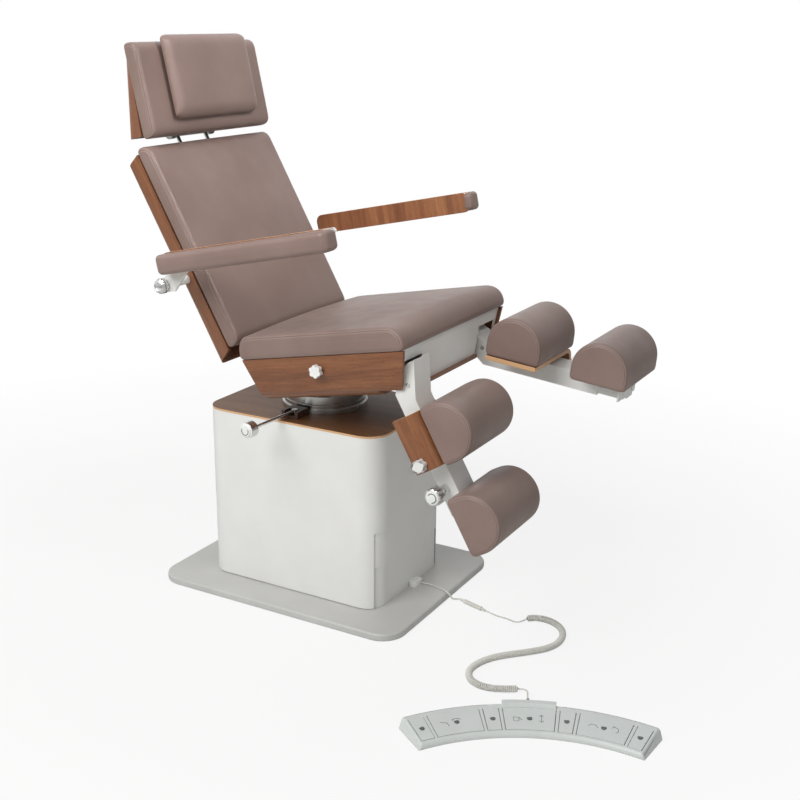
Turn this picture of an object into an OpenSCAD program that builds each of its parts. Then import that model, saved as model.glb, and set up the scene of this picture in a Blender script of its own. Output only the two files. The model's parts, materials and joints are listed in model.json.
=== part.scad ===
// Podiatry chair: lifting column on a floor plate, turntable, tilting seat, reclining
// back, adjustable headrest, folding armrests, two split leg rests and a foot control.
// The sitter faces -Y. The origin is on the turntable's axis, on the floor.

/* [Base] */
// Width of the floor plate
plate_w = 586; // [540:1:680]
// Depth of the floor plate
plate_d = 766; // [720:1:860]
// Thickness of the floor plate
plate_t = 21.5; // [18:0.5:28]
// Corner radius of the floor plate
plate_r = 67; // [50:1:90]
// Height of the glides in the plate's pockets
glide_h = 6; // [4:0.5:8]
// Width of the column's covers
column_w = 384; // [360:1:420]
// Depth of the column's covers
column_d = 552; // [520:1:600]
// Corner radius of the covers
column_r = 60; // [50:1:80]
// Height of the column's top at the lowest lift
column_top = 510; // [500:1:560]
// Wall of the sheet covers
cover_wall = 2; // [1.5:0.1:3]
// Thickness of the veneered top panel
panel_t = 6; // [5:0.5:9]

/* [Turntable] */
// Radius of the turntable's lower flange
turntable_r = 118; // [110:1:126]
// Height of the turntable above the top panel
turntable_h = 46; // [42:1:48]
// Radius of the tilt pivot stubs
tilt_pin_r = 10; // [8:0.5:12]

/* [Seat] */
// Angle by which the seat's front is raised
seat_tilt = 10.8; // [9:0.1:12]
// Width of the seat shell at its rim
seat_w = 560; // [540:1:600]
// Length of the seat shell at its rim
seat_len = 484; // [476:1:492]
// Depth of the seat shell
seat_depth = 116; // [112:1:120]
// Thickness of the moulded plywood
ply = 10; // [8:0.5:12]
// Thickness of the seat cushion at its edge
seat_pad_h = 62; // [50:1:70]

/* [Back] */
// Recline of the back from upright
back_lean = 29.5; // [28:0.1:31]
// Width of the back shell
back_w = 532; // [510:1:550]
// Height of the back shell
back_len = 556; // [540:1:575]
// Depth of the back shell
back_depth = 60; // [56:1:66]
// Thickness of the back cushion at its edge
back_pad_h = 45; // [38:1:50]

/* [Headrest] */
// Lean of the headrest's front from upright
head_lean = 12.5; // [11:0.5:14]
// Width of the headrest
head_w = 510; // [480:1:530]
// Height of the headrest shell
head_len = 228; // [220:1:236]
// Thickness of the headrest cushion at its edge
head_pad_h = 46; // [40:1:52]
// Radius of the headrest rods
rod_r = 5; // [4:0.5:6]

/* [Armrests] */
// Rise of the armrest from level
arm_rise = 12.2; // [11:0.1:14]
// Length of the armrest board
board_len = 516; // [500:1:550]
// Height of the armrest board
board_h = 55; // [50:1:60]
// Thickness of the armrest board
board_t = 12; // [10:0.5:14]
// Thickness of the armrest pad
arm_pad_t = 38; // [30:1:42]
// Distance from the chair's middle to the board's inner face
board_x = 350; // [345:1:356]

/* [Leg rests] */
// Angle of the right leg rest below level
right_pitch = 60.3; // [58:0.1:62]
// Angle of the left leg rest below level
left_pitch = 6; // [4:0.5:8]
// Width of the leg rest tube
tube_w = 80; // [76:1:84]
// Height of the leg rest tube
tube_h = 48; // [46:1:50]
// Reach of the leg rest tube from its pivot
tube_reach = 338; // [330:1:345]
// Length of a leg cushion along the leg
leg_pad_len = 152; // [140:1:160]
// Height of a leg cushion
leg_pad_h = 112; // [100:1:120]
// Width of a leg cushion across the leg
leg_pad_w = 243; // [230:1:250]

/* [Foot control] */
// Outer radius of the foot control's arc
control_r = 570; // [560:1:590]
// Depth of the foot control's housing
control_d = 98; // [94:1:110]
// Height of the housing at its rear edge
control_h = 32; // [30:1:38]
// Outer diameter of the curled cord
curl_od = 18; // [16:0.5:20]
// Diameter of the cord itself
cord_d = 5; // [4:0.1:5.5]
// Number of curls
curls = 58; // [40:1:60]

/* [Hidden] */
$fn = 48;

over = 20;          // how far a cut runs past what it cuts
seat_gap = 0.3;     // clearance between a soft piece and its seat
slide_gap = 0.5;    // clearance round a sliding piece
pin_gap = 0.05;     // radial clearance of a pivot

upholstery = [0.60, 0.53, 0.49];
walnut = [0.50, 0.32, 0.22];
white = [0.89, 0.89, 0.88];
steel = [0.72, 0.72, 0.72];
dark = [0.25, 0.25, 0.25];

// Base: the column stands a little off the turntable's axis
base_off = [-10, -10];
plate_top = plate_t;
glide_inset = 62;
glide_r = 20;
stud_r = 5;
stud_fit = 0.1;
stud_cover = 4;
pocket_gap = 0.5;

cover_gap = 1.5;
cover_step = cover_wall + cover_gap;
upper_hem = 240;
middle_hem = 140;
lower_rim = 330;
middle_rim = 430;
skirt_gap = 2;
runner_w = 40;
runner_h = 25;
cover_top = column_top - panel_t;

post_w = 150;
post_wall = 5;
post_top = 430;
flange_w = 240;
flange_t = 8;
post_gap = 0.5;
inner_foot = 80;
hub_r = 70;
motor_r = 38;
motor_h = 190;
box_gap = 13.5;
cover_inset = 2 * cover_step + cover_wall;
gearbox = [90, base_off.y + column_d / 2 - cover_inset - flange_w / 2 - 2 * box_gap, 60];
motor_y = flange_w / 2 + box_gap + gearbox.y / 2;
control_gap = 30.5;
control_box = [200, column_d / 2 - base_off.y - cover_inset - flange_w / 2 - 2 * control_gap, 60];
control_box_y = -flange_w / 2 - control_gap - control_box.y / 2;

// Turntable
base_ring_h = 24;
base_flange_h = 12;
base_step = 5;
plate_ring_r = 110;
disc_t = 12;
race_r = 80;
ring_gap = 0.05;
lug_x = 70;
lug_t = 12;
lug_w = 44;
tilt_y = -110;      // tilt pivot, in the seat's own frame
tilt_z = -55;

// Brake on the turntable
clamp_at = [-146, 2];
clamp_w = 52;
clamp_back = 26;
clamp_h = 19;
lever_hub_r = 9;
lever_hub_rim = 1;
lever_r = 4.5;
lever_z = 13;
lever_turn = 4;
lever_swing = 20;
lever_len = 175;
grip_r = 21;
grip_len = 26;
grip_cap_r = 16;
grip_cap_t = 4;

// Seat: its own frame starts at the shell's rear rim
seat_at = [0, 72, 685];
flare = 13;
seat_bend = 45;
front_slant = 19;
rear_slant = 13.5;
front_inset = 9;
front_plate_t = 3;
board_plate_t = 4;
rail_x = 92;
rail_w = 30;
rail_wall = 4;
rail_top = -4;
rail_front = -375;
rail_rear = -22;
cross_w = 30;
front_cross_y = -378;
rear_cross_h = 20;
floor_gap = 1;
floor_open_w = 200;
floor_open_len = 150;
hinge_y = 34;       // back hinge, in the seat's own frame
hinge_z = -3;
hinge_r = 8;
hinge_eye = 14;
ear_x = 150;
ear_t = 10;
ear_gap = 2;
seat_knob_y = -226;
seat_knob_z = -37;
knob_r = 17;
knob_t = 14;
knob_lobes = 6;
knob_shank_r = 4;
cylinder_r = 20;
cylinder_len = 150;
cylinder_front = -100;
rod_bar_r = 8;
rod_z = -63;
lever_tip_gap = 10;
seat_pad_front = -492;
seat_pad_rear = 5;
seat_pad_crown = 12;
seat_pad_over = 5;
seat_pad_round = 16;
seat_pad_ends = [[44, 40, 14], [26, 52, 0]];   // run, drop and lift of the front and rear ends
back_pad_round = 14;
back_pad_ends = [[24, 24, 4], [30, 26, 6]];
head_pad_round = 14;
head_pad_ends = [[20, 22, 4], [24, 24, 5]];
pillow_round = 12;
pillow_ends = [[22, 18, 2], [26, 18, 2]];
arm_pad_round = 12;
arm_pad_ends = [[16, 16, 3], [16, 16, 3]];
draw_in = 2;

// Back: its own frame starts at the shell's lower front edge
back_at = [0, 125, 702];
back_bend = 30;
back_slant = 20;
post_x = 155;
back_post_w = 20;
back_post_y = 4;
back_frame_top = 520;
lower_cross_z = 60;
upper_cross_z = 470;
socket_r = 10;
socket_bottom = 385;
rod_x = 60;
rod_y = 14;
rod_bottom = 290;
back_pad_crown = 11;
back_pad_low = 3;
back_pad_top = 565;
lever_w = 22;
lever_t = 16;
tip_y = 16;         // lever tip, in the back's own frame
tip_z = -90;

// Headrest: its own frame starts at the shell's lower front edge
head_at = [0, 389, 1232];
head_depth = 58;
head_bend = 26;
head_pin_r = 5;
head_tube_r = 8;
head_tube_w = 144;
head_ear_w = 20;
head_pin_w = 196;
head_pad_crown = 4;
head_ear_r = 13;
head_ear_h = 28;
head_pad_low = -6;
head_pad_top = 236;
pillow_w = 350;
pillow_low = 28;
pillow_top = 246;
pillow_h = 32;
pillow_crown = 8;

// Armrest: pivot in the back's own frame
arm_pivot_y = 31;
arm_pivot_z = 215;
arm_tube_r = 12;
arm_spigot_r = 9;
arm_bracket_t = 8;
arm_hub_r = 19;
arm_hub_gap = 1;
arm_knob_r = 20;
arm_knob_t = 22;
board_rear = -20;
arm_pad_wrap = 12;
bracket_drop = 3;
board_top = 82;
board_corner = 20;
arm_pad_inset = 5;
arm_pad_crown = 4;

// Leg rest: its own frame starts at its pivot, with the leg running to -Y
leg_at = [0, -398, 682];
leg_x = 205;
tube_top = 3;
tube_wall = 4;
tube_start = 35;
leg_pin_r = 6;
leg_lug_r = 9.5;
leg_lug_t = 8;
leg_lug_x = 24;
cheek_t = 5;
tip_s = 50;
tip_n = 46;
root_gap = 6;
tray_start = 64;
tray_len = 142;
tray_t = 12;
tray_bottom = 12.6;
tray_inner = 47;
tray_outer = 300;
tray_skirt_low = -50;
tray_bend = 38;
carriage_inner = 150;
carriage_outer = 262;
carriage_start = 84;
carriage_len = 108;
carriage_cheek = 8;
tray_knob_s = 186;
tray_knob_n = -25;
calf_start = 60;
calf_inner = 47;
bar_start = 180;
bar_end = 407;
end_plate_t = 5;
end_plate_w = 124;
end_plate_low = -32;
end_plate_x = 180;
end_slot_w = 8;
end_slot_h = 18;
end_slot_x = 34;
heel_start = 284;
heel_inner = 80;
carrier_w = 180;
carrier_t = 3;
riser_start = 382;
riser_w = 40;
rim_r = 9;
slide_knob_s = 268;
collar_r = 13;
collar_len = 34;
knob_drop = 8;
slide_knob_r = 23;
slide_knob_t = 33;
slide_shank_r = 5;

// Foot control: an arc about this point on the floor
control_at = [-930, -1070];
control_turn = 25.9;
control_half = 30.5;
control_front_h = 12;
pad_pitch = 9.25;
rocker_half = 6.4;
button_half = 1.9;
pad_gap_r = 0.8;
ridge_half = 0.1;
pad_inset = 12;
pocket_h = 6;
pad_t = 4;
pad_rise = 1;
dot_r = 6;
dot_t = 1;
hub_half = 6.3;
hub_d = 26;
hub_h = 38;
relief_len = 46;
relief_r = 6;
relief_tip_r = 3.6;
curl_z = 9.6;

// Cords: routes on the floor, chosen by hand
coupler_r = 6;
coupler_z = 6.1;
coupler_from = [12, -429];
coupler_to = [-13, -515];
lead_route = [[14, -299, 26], [14.5, -307, 26], [17, -320, 25.6], [18, -334, 24.8], [16, -350, 24.4],
  [11, -367, 24.3], [5, -381, 24.3], [0, -390, 24.5], [-2.5, -396, 24.2], [-3.6, -401, 21.6],
  [-3.2, -405, 16.5], [-1.5, -408, 11.4], [2.2, -411, 7.8], [7, -414, 6.4], [11, -418, 6.1],
  [12.9, -423, 6.1], [12, -429, 6.1]];
curl_route = [[-13, -515, 6.1], [-14.5, -520.2, 6.1], [-16.7, -529, 5.7], [-18, -540, 4.3],
  [-18.5, -553, 3.1], [-18.8, -567, 2.8], [-20, -582, 2.8], [-23.5, -597, 3.1], [-27.5, -609, 4.4],
  [-27.5, -620, 6.8], [-19, -629, 9], [-6, -634, 9.6],
  [8, -646, 9.6], [16, -670, 9.6], [11, -702, 9.6], [-9, -732, 9.6], [-42, -751, 9.6],
  [-82, -756, 9.6], [-120, -745, 9.6], [-152, -722, 9.6], [-181, -695, 9.6], [-211, -666, 9.6],
  [-244, -641, 9.6], [-283, -625, 9.6], [-323, -623, 9.6], [-356, -640, 9.6], [-372, -671, 9.6],
  [-370, -704, 9.6], [-356, -735, 9.6], [-341, -761, 9.6],
  [-337.9, -766.9, 9.6], [-336.3, -774, 9.6], [-338.4, -780.9, 9.6], [-343.7, -785.9, 9.6],
  [-352.4, -789.6, 9.6], [-362, -794.2, 9.6], [-372.2, -799.2, 9.6], [-381.2, -803.5, 9.6]];
curl_in = 11;       // route points where the curls begin and end
curl_out = 29;
cord_sides = 6;
curl_rings = 8;

// Plane shapes
module rounded(w, d, r) {
  square([w - 2 * r, d], center = true);
  square([w, d - 2 * r], center = true);
  for (sx = [-1, 1], sy = [-1, 1])
    translate([sx * (w / 2 - r), sy * (d / 2 - r)])
      circle(r);
}
module rounded_slab(w, d, h, r) {
  linear_extrude(h)
    rounded(w, d, r);
}
module tube_cover(inset, z0, z1) {
  w = column_w - 2 * inset;
  d = column_d - 2 * inset;
  r = column_r - inset;
  translate([base_off.x, base_off.y, z0])
    difference() {
      rounded_slab(w, d, z1 - z0, r);
      translate([0, 0, -over])
        rounded_slab(w - 2 * cover_wall, d - 2 * cover_wall, z1 - z0 + 2 * over, r - cover_wall);
    }
}
module box(x0, x1, y0, y1, z0, z1) {
  translate([x0, y0, z0])
    cube([x1 - x0, y1 - y0, z1 - z0]);
}
module along_x(x0, x1, r) {
  translate([x0, 0, 0])
    rotate([0, 90, 0])
      cylinder(h = x1 - x0, r = r);
}
module both() {
  children();
  mirror([1, 0, 0])
    children();
}

// Moulded shell: a tray section with flared sides and bent corners
shell_arc = 8;
function shell_points(w, depth, bend, t, stretch = 1) =
  let(cx = w / 2 - (bend + (depth - bend) * sin(flare)) / cos(flare))
  concat([[w / 2 - t / cos(flare), 0]],
    [for (i = [0 : shell_arc])
      let(a = -flare - (90 - flare) * i / shell_arc)
      [cx + (bend - t) * cos(a), (bend - depth + (bend - t) * sin(a)) * stretch]]);
function mirrored(p) = [for (i = [len(p) - 1 : -1 : 0]) [-p[i].x, p[i].y]];
function closed(p) = concat(p, mirrored(p));
function reversed(p) = [for (i = [len(p) - 1 : -1 : 0]) p[i]];
module shell_section(w, depth, bend) {
  outer = closed(shell_points(w, depth, bend, 0));
  inner = closed(shell_points(w, depth, bend, ply));
  polygon(concat(outer, reversed(inner)));
}

// Cushion: rings of a section with a flat base, drawn-in sides and a crowned top
crown_shares = [-0.5, 0, 0.5];
end_angles = [90, 79, 60, 33, 0];
lift_shares = [1, 0.35, 0, 0, 0];
function section_points(hw, h, crown, round) =
  let(r = min(round, h * 0.5), low = r * 0.35, edge = hw - draw_in)
  concat(
    [[-edge + low, 0], [-edge, low], [-hw, h * 0.45], [-edge, h - r]],
    [for (a = [30, 60, 90]) [-edge + r * (1 - cos(a)), h - r + r * sin(a)]],
    [for (u = crown_shares) [u * (hw - r), h + crown * (1 - u * u)]],
    [for (a = [90, 60, 30]) [edge - r * (1 - cos(a)), h - r + r * sin(a)]],
    [[edge, h - r], [hw, h * 0.45], [edge, low], [edge - low, 0]]);
module ringed(rings) {
  n = len(rings[0]);
  m = len(rings);
  points = [for (ring = rings) each ring];
  sides = [for (i = [0 : m - 2], j = [0 : n - 1])
    let(a = i * n + j, b = i * n + (j + 1) % n)
    each [[a, a + n, b], [b, a + n, b + n]]];
  first = [for (j = [1 : n - 2]) [0, j, j + 1]];
  last = [for (j = [1 : n - 2]) [(m - 1) * n, (m - 1) * n + j + 1, (m - 1) * n + j]];
  polyhedron(points, concat(sides, first, last));
}
// Each end is rounded over its run, falls by its drop and leaves its base by its lift
function end_ring(y, toward, end, i) =
  let(a = end_angles[i])
  [y + toward * end[0] * (1 - sin(a)), end[1] * (1 - cos(a)), end[2] * lift_shares[i], 0.3 + 0.3 * cos(a)];
module cushion(w, y0, y1, h, crown, round, ends) {
  n = len(end_angles) - 1;
  front = [for (i = [0 : n]) end_ring(y0, 1, ends[0], i)];
  rear = [for (i = [n : -1 : 0]) end_ring(y1, -1, ends[1], i)];
  middle = [for (u = [0.38, 0.62]) [y0 + (y1 - y0) * u, 0, 0, 1]];
  ringed([for (s = concat(front, middle, rear))
    [for (p = section_points(w / 2 - s[1] * 0.2, h - s[1] - s[2], crown * s[3], round))
      [p.x, s[0], p.y + s[2]]]]);
}

// Clamp knobs
module lobed_knob(r, t) {
  cylinder(h = t, r = r * 0.82);
  for (i = [0 : knob_lobes - 1])
    rotate([0, 0, i * 360 / knob_lobes])
      translate([r * 0.68, 0, 0])
        cylinder(h = t, r = r * 0.32);
}
module face_x() {
  rotate([0, 90, 0])
    children();
}

// Placing
module in_seat() {
  translate(seat_at)
    rotate([-seat_tilt, 0, 0])
      children();
}
module in_back() {
  translate(back_at)
    rotate([-back_lean, 0, 0])
      children();
}
module in_head() {
  translate(head_at)
    rotate([-head_lean, 0, 0])
      children();
}
module in_arm() {
  in_back()
    translate([0, arm_pivot_y, arm_pivot_z])
      rotate([back_lean - arm_rise, 0, 0])
        children();
}
module in_leg(side) {
  pitch = side > 0 ? left_pitch : right_pitch;
  mirror([side > 0 ? 0 : 1, 0, 0])
    translate(leg_at)
      rotate([pitch, 0, 0])
        children();
}
module on_side(side) {
  mirror([side > 0 ? 0 : 1, 0, 0])
    children();
}
module in_control() {
  translate([control_at.x, control_at.y, 0])
    rotate([0, 0, control_turn])
      children();
}

// Base
module glide_places() {
  for (sx = [-1, 1], sy = [-1, 1])
    translate([base_off.x + sx * (plate_w / 2 - glide_inset),
      base_off.y + sy * (plate_d / 2 - glide_inset), 0])
      children();
}
module base_plate() {
  color(white)
    difference() {
      translate([base_off.x, base_off.y, 0])
        rounded_slab(plate_w, plate_d, plate_t, plate_r);
      glide_places() {
        translate([0, 0, -over])
          cylinder(h = glide_h + pocket_gap + over, r = glide_r + pocket_gap);
        cylinder(h = plate_top - stud_cover, r = stud_r + stud_fit);
      }
    }
}
module levelling_feet() {
  color(dark)
    glide_places() {
      cylinder(h = glide_h, r = glide_r);
      cylinder(h = plate_top - stud_cover - stud_fit, r = stud_r);
    }
}
module lower_cover() {
  color(white)
    tube_cover(2 * cover_step, plate_top, lower_rim);
}
module middle_cover() {
  // four runners inside the hem slide on the lower cover
  inner_w = column_w / 2 - cover_step - cover_wall;
  inner_d = column_d / 2 - cover_step - cover_wall;
  runner_t = cover_gap - ring_gap;
  color(white) {
    tube_cover(cover_step, middle_hem, middle_rim);
    translate([base_off.x, base_off.y, middle_hem])
      for (s = [-1, 1]) {
        translate([s * (inner_w - runner_t / 2 + ring_gap), 0, runner_h / 2])
          cube([runner_t + 2 * ring_gap, runner_w, runner_h], center = true);
        translate([0, s * (inner_d - runner_t / 2 + ring_gap), runner_h / 2])
          cube([runner_w, runner_t + 2 * ring_gap, runner_h], center = true);
      }
  }
}
module upper_cover() {
  // The skirts reach round the corners to 45 degrees
  cut_x = column_w / 2 - column_r * (1 - cos(45));
  skirt_low = plate_top + skirt_gap;
  color(white)
    difference() {
      tube_cover(0, skirt_low, cover_top);
      translate([base_off.x - cut_x, base_off.y - column_d, skirt_low - over])
        cube([2 * cut_x, 2 * column_d, upper_hem - skirt_low + over]);
    }
}
module top_panel() {
  color(walnut)
    difference() {
      translate([base_off.x, base_off.y, cover_top])
        rounded_slab(column_w, column_d, panel_t, column_r);
      translate([0, 0, cover_top - over])
        cylinder(h = panel_t + 2 * over, r = hub_r);
    }
}
module square_tube(w, wall, z0, z1) {
  translate([0, 0, z0])
    difference() {
      translate([0, 0, (z1 - z0) / 2])
        cube([w, w, z1 - z0], center = true);
      translate([0, 0, (z1 - z0) / 2])
        cube([w - 2 * wall, w - 2 * wall, z1 - z0 + over], center = true);
    }
}
module lift_column_outer() {
  color(steel) {
    square_tube(post_w, post_wall, plate_top + flange_t, post_top);
    translate([0, 0, plate_top + flange_t / 2])
      cube([flange_w, flange_w, flange_t], center = true);
    translate([0, motor_y, plate_top + gearbox.z / 2])
      cube(gearbox, center = true);
    translate([0, motor_y, plate_top + gearbox.z])
      cylinder(h = motor_h, r = motor_r);
    translate([0, control_box_y, plate_top + control_box.z / 2])
      cube(control_box, center = true);
  }
}
module lift_column_inner() {
  inner_w = post_w - 2 * post_wall - 2 * post_gap;
  color(steel) {
    square_tube(inner_w, post_wall, inner_foot, cover_top - flange_t);
    translate([0, 0, cover_top - flange_t / 2])
      cube([flange_w, flange_w, flange_t], center = true);
    translate([0, 0, cover_top])
      cylinder(h = panel_t, r = hub_r - slide_gap);
  }
}

// Turntable
ring_top = column_top + base_ring_h;
disc_top = column_top + turntable_h;
module turntable_base() {
  color(steel)
    translate([0, 0, column_top])
      difference() {
        union() {
          cylinder(h = base_flange_h, r = turntable_r, $fn = 96);
          cylinder(h = base_ring_h, r = turntable_r - base_step, $fn = 96);
          cylinder(h = turntable_h - disc_t, r = race_r, $fn = 96);
        }
        translate([0, 0, -over])
          cylinder(h = turntable_h + over, r = hub_r / 2);
      }
}
tilt_world = [0, seat_at.y + tilt_y * cos(seat_tilt) + tilt_z * sin(seat_tilt),
  seat_at.z - tilt_y * sin(seat_tilt) + tilt_z * cos(seat_tilt)];
module tilt_lug() {
  foot = disc_top - disc_t / 2 - tilt_world.z;
  translate([lug_x, tilt_world.y, tilt_world.z])
    rotate([90, 0, 90])
      linear_extrude(lug_t)
        difference() {
          union() {
            circle(lug_w / 2);
            translate([-lug_w * 0.4, foot])
              square([lug_w * 0.8, -foot]);
          }
          circle(tilt_pin_r + pin_gap);
        }
}
module turntable_plate() {
  color(steel) {
    difference() {
      translate([0, 0, ring_top + ring_gap])
        cylinder(h = disc_top - ring_top - ring_gap, r = plate_ring_r, $fn = 96);
      translate([0, 0, column_top])
        cylinder(h = turntable_h - disc_t + ring_gap, r = race_r + ring_gap, $fn = 96);
    }
    tilt_lug();
    mirror([1, 0, 0])
      tilt_lug();
  }
}
module brake_clamp() {
  pocket_z = lever_z - lever_r - lever_hub_rim - slide_gap;
  slot_w = 2 * (clamp_back * sin(lever_swing + lever_turn) + lever_r / cos(lever_swing) + slide_gap);
  color(walnut)
    translate([clamp_at.x, clamp_at.y, column_top])
      difference() {
        box(-clamp_back, -clamp_at.x - turntable_r - slide_gap, -clamp_w / 2, clamp_w / 2, 0, clamp_h);
        translate([0, 0, pocket_z])
          cylinder(h = over, r = lever_hub_r + pin_gap);
        box(-clamp_back - over, 0, -slot_w / 2, slot_w / 2, pocket_z, over * 2);
      }
}
module brake_lever() {
  color(steel)
    translate([clamp_at.x, clamp_at.y, column_top + lever_z])
      rotate([0, 0, -lever_turn]) {
        translate([0, 0, -lever_r - lever_hub_rim])
          cylinder(h = 2 * (lever_r + lever_hub_rim), r = lever_hub_r);
        rotate([0, -90, 0])
          cylinder(h = lever_len, r = lever_r);
        translate([-lever_len, 0, 0])
          rotate([0, -90, 0]) {
            cylinder(h = grip_len, r = grip_r);
            translate([0, 0, grip_len])
              cylinder(h = grip_cap_t, r = grip_cap_r);
          }
      }
}

// Cord gland at the foot of the front cover
gland_y = base_off.y - column_d / 2 + 2 * cover_step;
gland_x = 4;
gland_w = 44;
gland_d = 24;
gland_h = 14;
gland_r = 9;
gland_bore = 4;
module cord_gland() {
  color(white)
    difference() {
      translate([gland_x, gland_y - gland_d / 2, plate_top])
        rounded_slab(gland_w, gland_d, gland_h, gland_r);
      translate([lead_route[0].x, gland_y - gland_d + gland_bore, lead_route[0].z])
        rotate([90, 0, 0])
          cylinder(h = over, r = cord_d / 2 + pin_gap);
    }
}

// Seat
notch_h = 26;
module seat_shell() {
  color(walnut)
    in_seat()
      difference() {
        rotate([90, 0, 0])
          linear_extrude(seat_len)
            shell_section(seat_w, seat_depth, seat_bend);
        translate([0, -seat_len, 0])
          rotate([front_slant, 0, 0])
            box(-seat_w, seat_w, -seat_depth, 0, -2 * seat_depth, over);
        rotate([-rear_slant, 0, 0])
          box(-seat_w, seat_w, 0, seat_depth, -2 * seat_depth, over);
        box(-floor_open_w / 2, floor_open_w / 2, tilt_y - floor_open_len / 2,
          tilt_y + floor_open_len / 2, -seat_depth - over, -seat_depth + ply + over / 4);
        both()
          box(leg_x - tube_w / 2 - root_gap, leg_x + tube_w / 2 + root_gap,
            -seat_len, front_cross_y - floor_gap, -seat_depth - over, -seat_depth + ply + notch_h);
        translate([-seat_w / 2, seat_knob_y, seat_knob_z])
          along_x(-over, over * 2, knob_shank_r + pin_gap);
      }
}
module seat_front_plate() {
  stretch = 1 / cos(front_slant);
  color(white)
    in_seat()
      difference() {
        translate([0, -seat_len + front_inset, 0])
          rotate([front_slant, 0, 0])
            difference() {
              rotate([90, 0, 0])
                translate([0, 0, -front_plate_t])
                  linear_extrude(front_plate_t)
                    polygon(closed(shell_points(seat_w, seat_depth, seat_bend, ply, stretch)));
              both()
                box(leg_x - tube_w / 2 - root_gap, leg_x + tube_w / 2 + root_gap, -over, over,
                  -seat_depth * stretch - over, -front_open_top);
            }
        box(-seat_w, seat_w, -seat_len - over, 0, 0, over);
      }
}
front_open_top = 32;
leg_seat = [0, (leg_at.y - seat_at.y) * cos(seat_tilt) - (leg_at.z - seat_at.z) * sin(seat_tilt),
  (leg_at.y - seat_at.y) * sin(seat_tilt) + (leg_at.z - seat_at.z) * cos(seat_tilt)];
module seat_frame() {
  floor_z = -seat_depth + ply + floor_gap;
  // the front cross bar stands clear of the shell's bend
  cross_z = floor_z + 4;
  color(white)
    in_seat()
      difference() {
        union() {
          both() {
            box(rail_x, rail_x + rail_w, rail_front, rail_rear, floor_z, rail_top);
            for (x = [leg_x - leg_lug_x, leg_x + leg_lug_x - leg_lug_t]) {
              translate([0, leg_seat.y, leg_seat.z])
                along_x(x, x + leg_lug_t, leg_lug_r);
              box(x, x + leg_lug_t, leg_seat.y, front_cross_y + leg_lug_t,
                leg_seat.z - leg_lug_r * 0.9, leg_seat.z + leg_lug_r * 0.9);
            }
            box(ear_x, ear_x + ear_t, rail_rear - cross_w, hinge_y, hinge_z - hinge_eye * 0.9,
              hinge_z + ear_gap / 2);
            translate([0, hinge_y, hinge_z])
              along_x(ear_x, ear_x + ear_t, hinge_eye);
          }
          box(-leg_x - leg_lug_x, leg_x + leg_lug_x, front_cross_y, front_cross_y + cross_w,
            cross_z, floor_z + cross_w);
          box(-ear_x - ear_t, ear_x + ear_t, rail_rear - cross_w, rail_rear,
            rail_top - rear_cross_h, rail_top);
          box(-rail_x, rail_x, cylinder_front - cylinder_len, cylinder_front - cylinder_len + cross_w,
            rod_z - cylinder_r, rod_z + cylinder_r);
          box(-seat_w / 2 + over, seat_w / 2 - over, -seat_len + over * 2, rail_rear, rail_top, 0);
          translate([0, cylinder_front, rod_z])
            rotate([90, 0, 0])
              cylinder(h = cylinder_len - cross_w / 2, r = cylinder_r);
        }
        both()
          box(rail_x + rail_wall, rail_x + rail_w - rail_wall, rail_front + cross_w, rail_rear + over,
            floor_z + rail_wall, rail_top - rail_wall);
        box(-leg_x - tube_w / 2 - over, leg_x + tube_w / 2 + over, front_cross_y + rail_wall,
          front_cross_y + cross_w - rail_wall, cross_z + rail_wall, floor_z + cross_w - rail_wall);
        translate([0, tilt_y, tilt_z])
          along_x(-rail_x - rail_w - over, rail_x + rail_w + over, tilt_pin_r + pin_gap);
        translate([0, leg_seat.y, leg_seat.z])
          along_x(-seat_w / 2, seat_w / 2, leg_pin_r + pin_gap);
        translate([0, hinge_y, hinge_z])
          along_x(-seat_w / 2, seat_w / 2, hinge_r + pin_gap);
        translate([0, cylinder_front + over, rod_z])
          rotate([90, 0, 0])
            cylinder(h = cylinder_len - cross_w + over, r = rod_bar_r + slide_gap);
      }
}
module pivot_pins() {
  color(steel)
    in_seat()
      both() {
        translate([0, tilt_y, tilt_z])
          along_x(lug_x - slide_gap, rail_x + rail_w, tilt_pin_r);
        translate([0, leg_seat.y, leg_seat.z])
          along_x(leg_x - tube_w / 2, leg_x + tube_w / 2, leg_pin_r);
        translate([0, hinge_y, hinge_z])
          along_x(ear_x, ear_x + 2 * ear_t + ear_gap, hinge_r);
      }
}
module seat_cushion() {
  color(upholstery)
    in_seat()
      translate([0, 0, seat_gap])
        cushion(seat_w + 2 * seat_pad_over, seat_pad_front, seat_pad_rear, seat_pad_h,
          seat_pad_crown, seat_pad_round, seat_pad_ends);
}
module seat_knob() {
  x = -seat_w / 2 - (seat_knob_z + knob_r) * tan(flare);
  color(white)
    in_seat()
      translate([x - seat_gap, seat_knob_y, seat_knob_z]) {
        face_x()
          translate([0, 0, -knob_t])
            lobed_knob(knob_r, knob_t);
        along_x(0, ply * 2, knob_shank_r);
      }
}
module back_actuator_rod() {
  tip = back_lever_tip_seat_y - lever_tip_gap - lever_w / 2;
  color(steel)
    in_seat()
      translate([0, tip, rod_z])
        rotate([90, 0, 0])
          cylinder(h = tip - cylinder_front + cylinder_r * 2, r = rod_bar_r);
}

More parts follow.
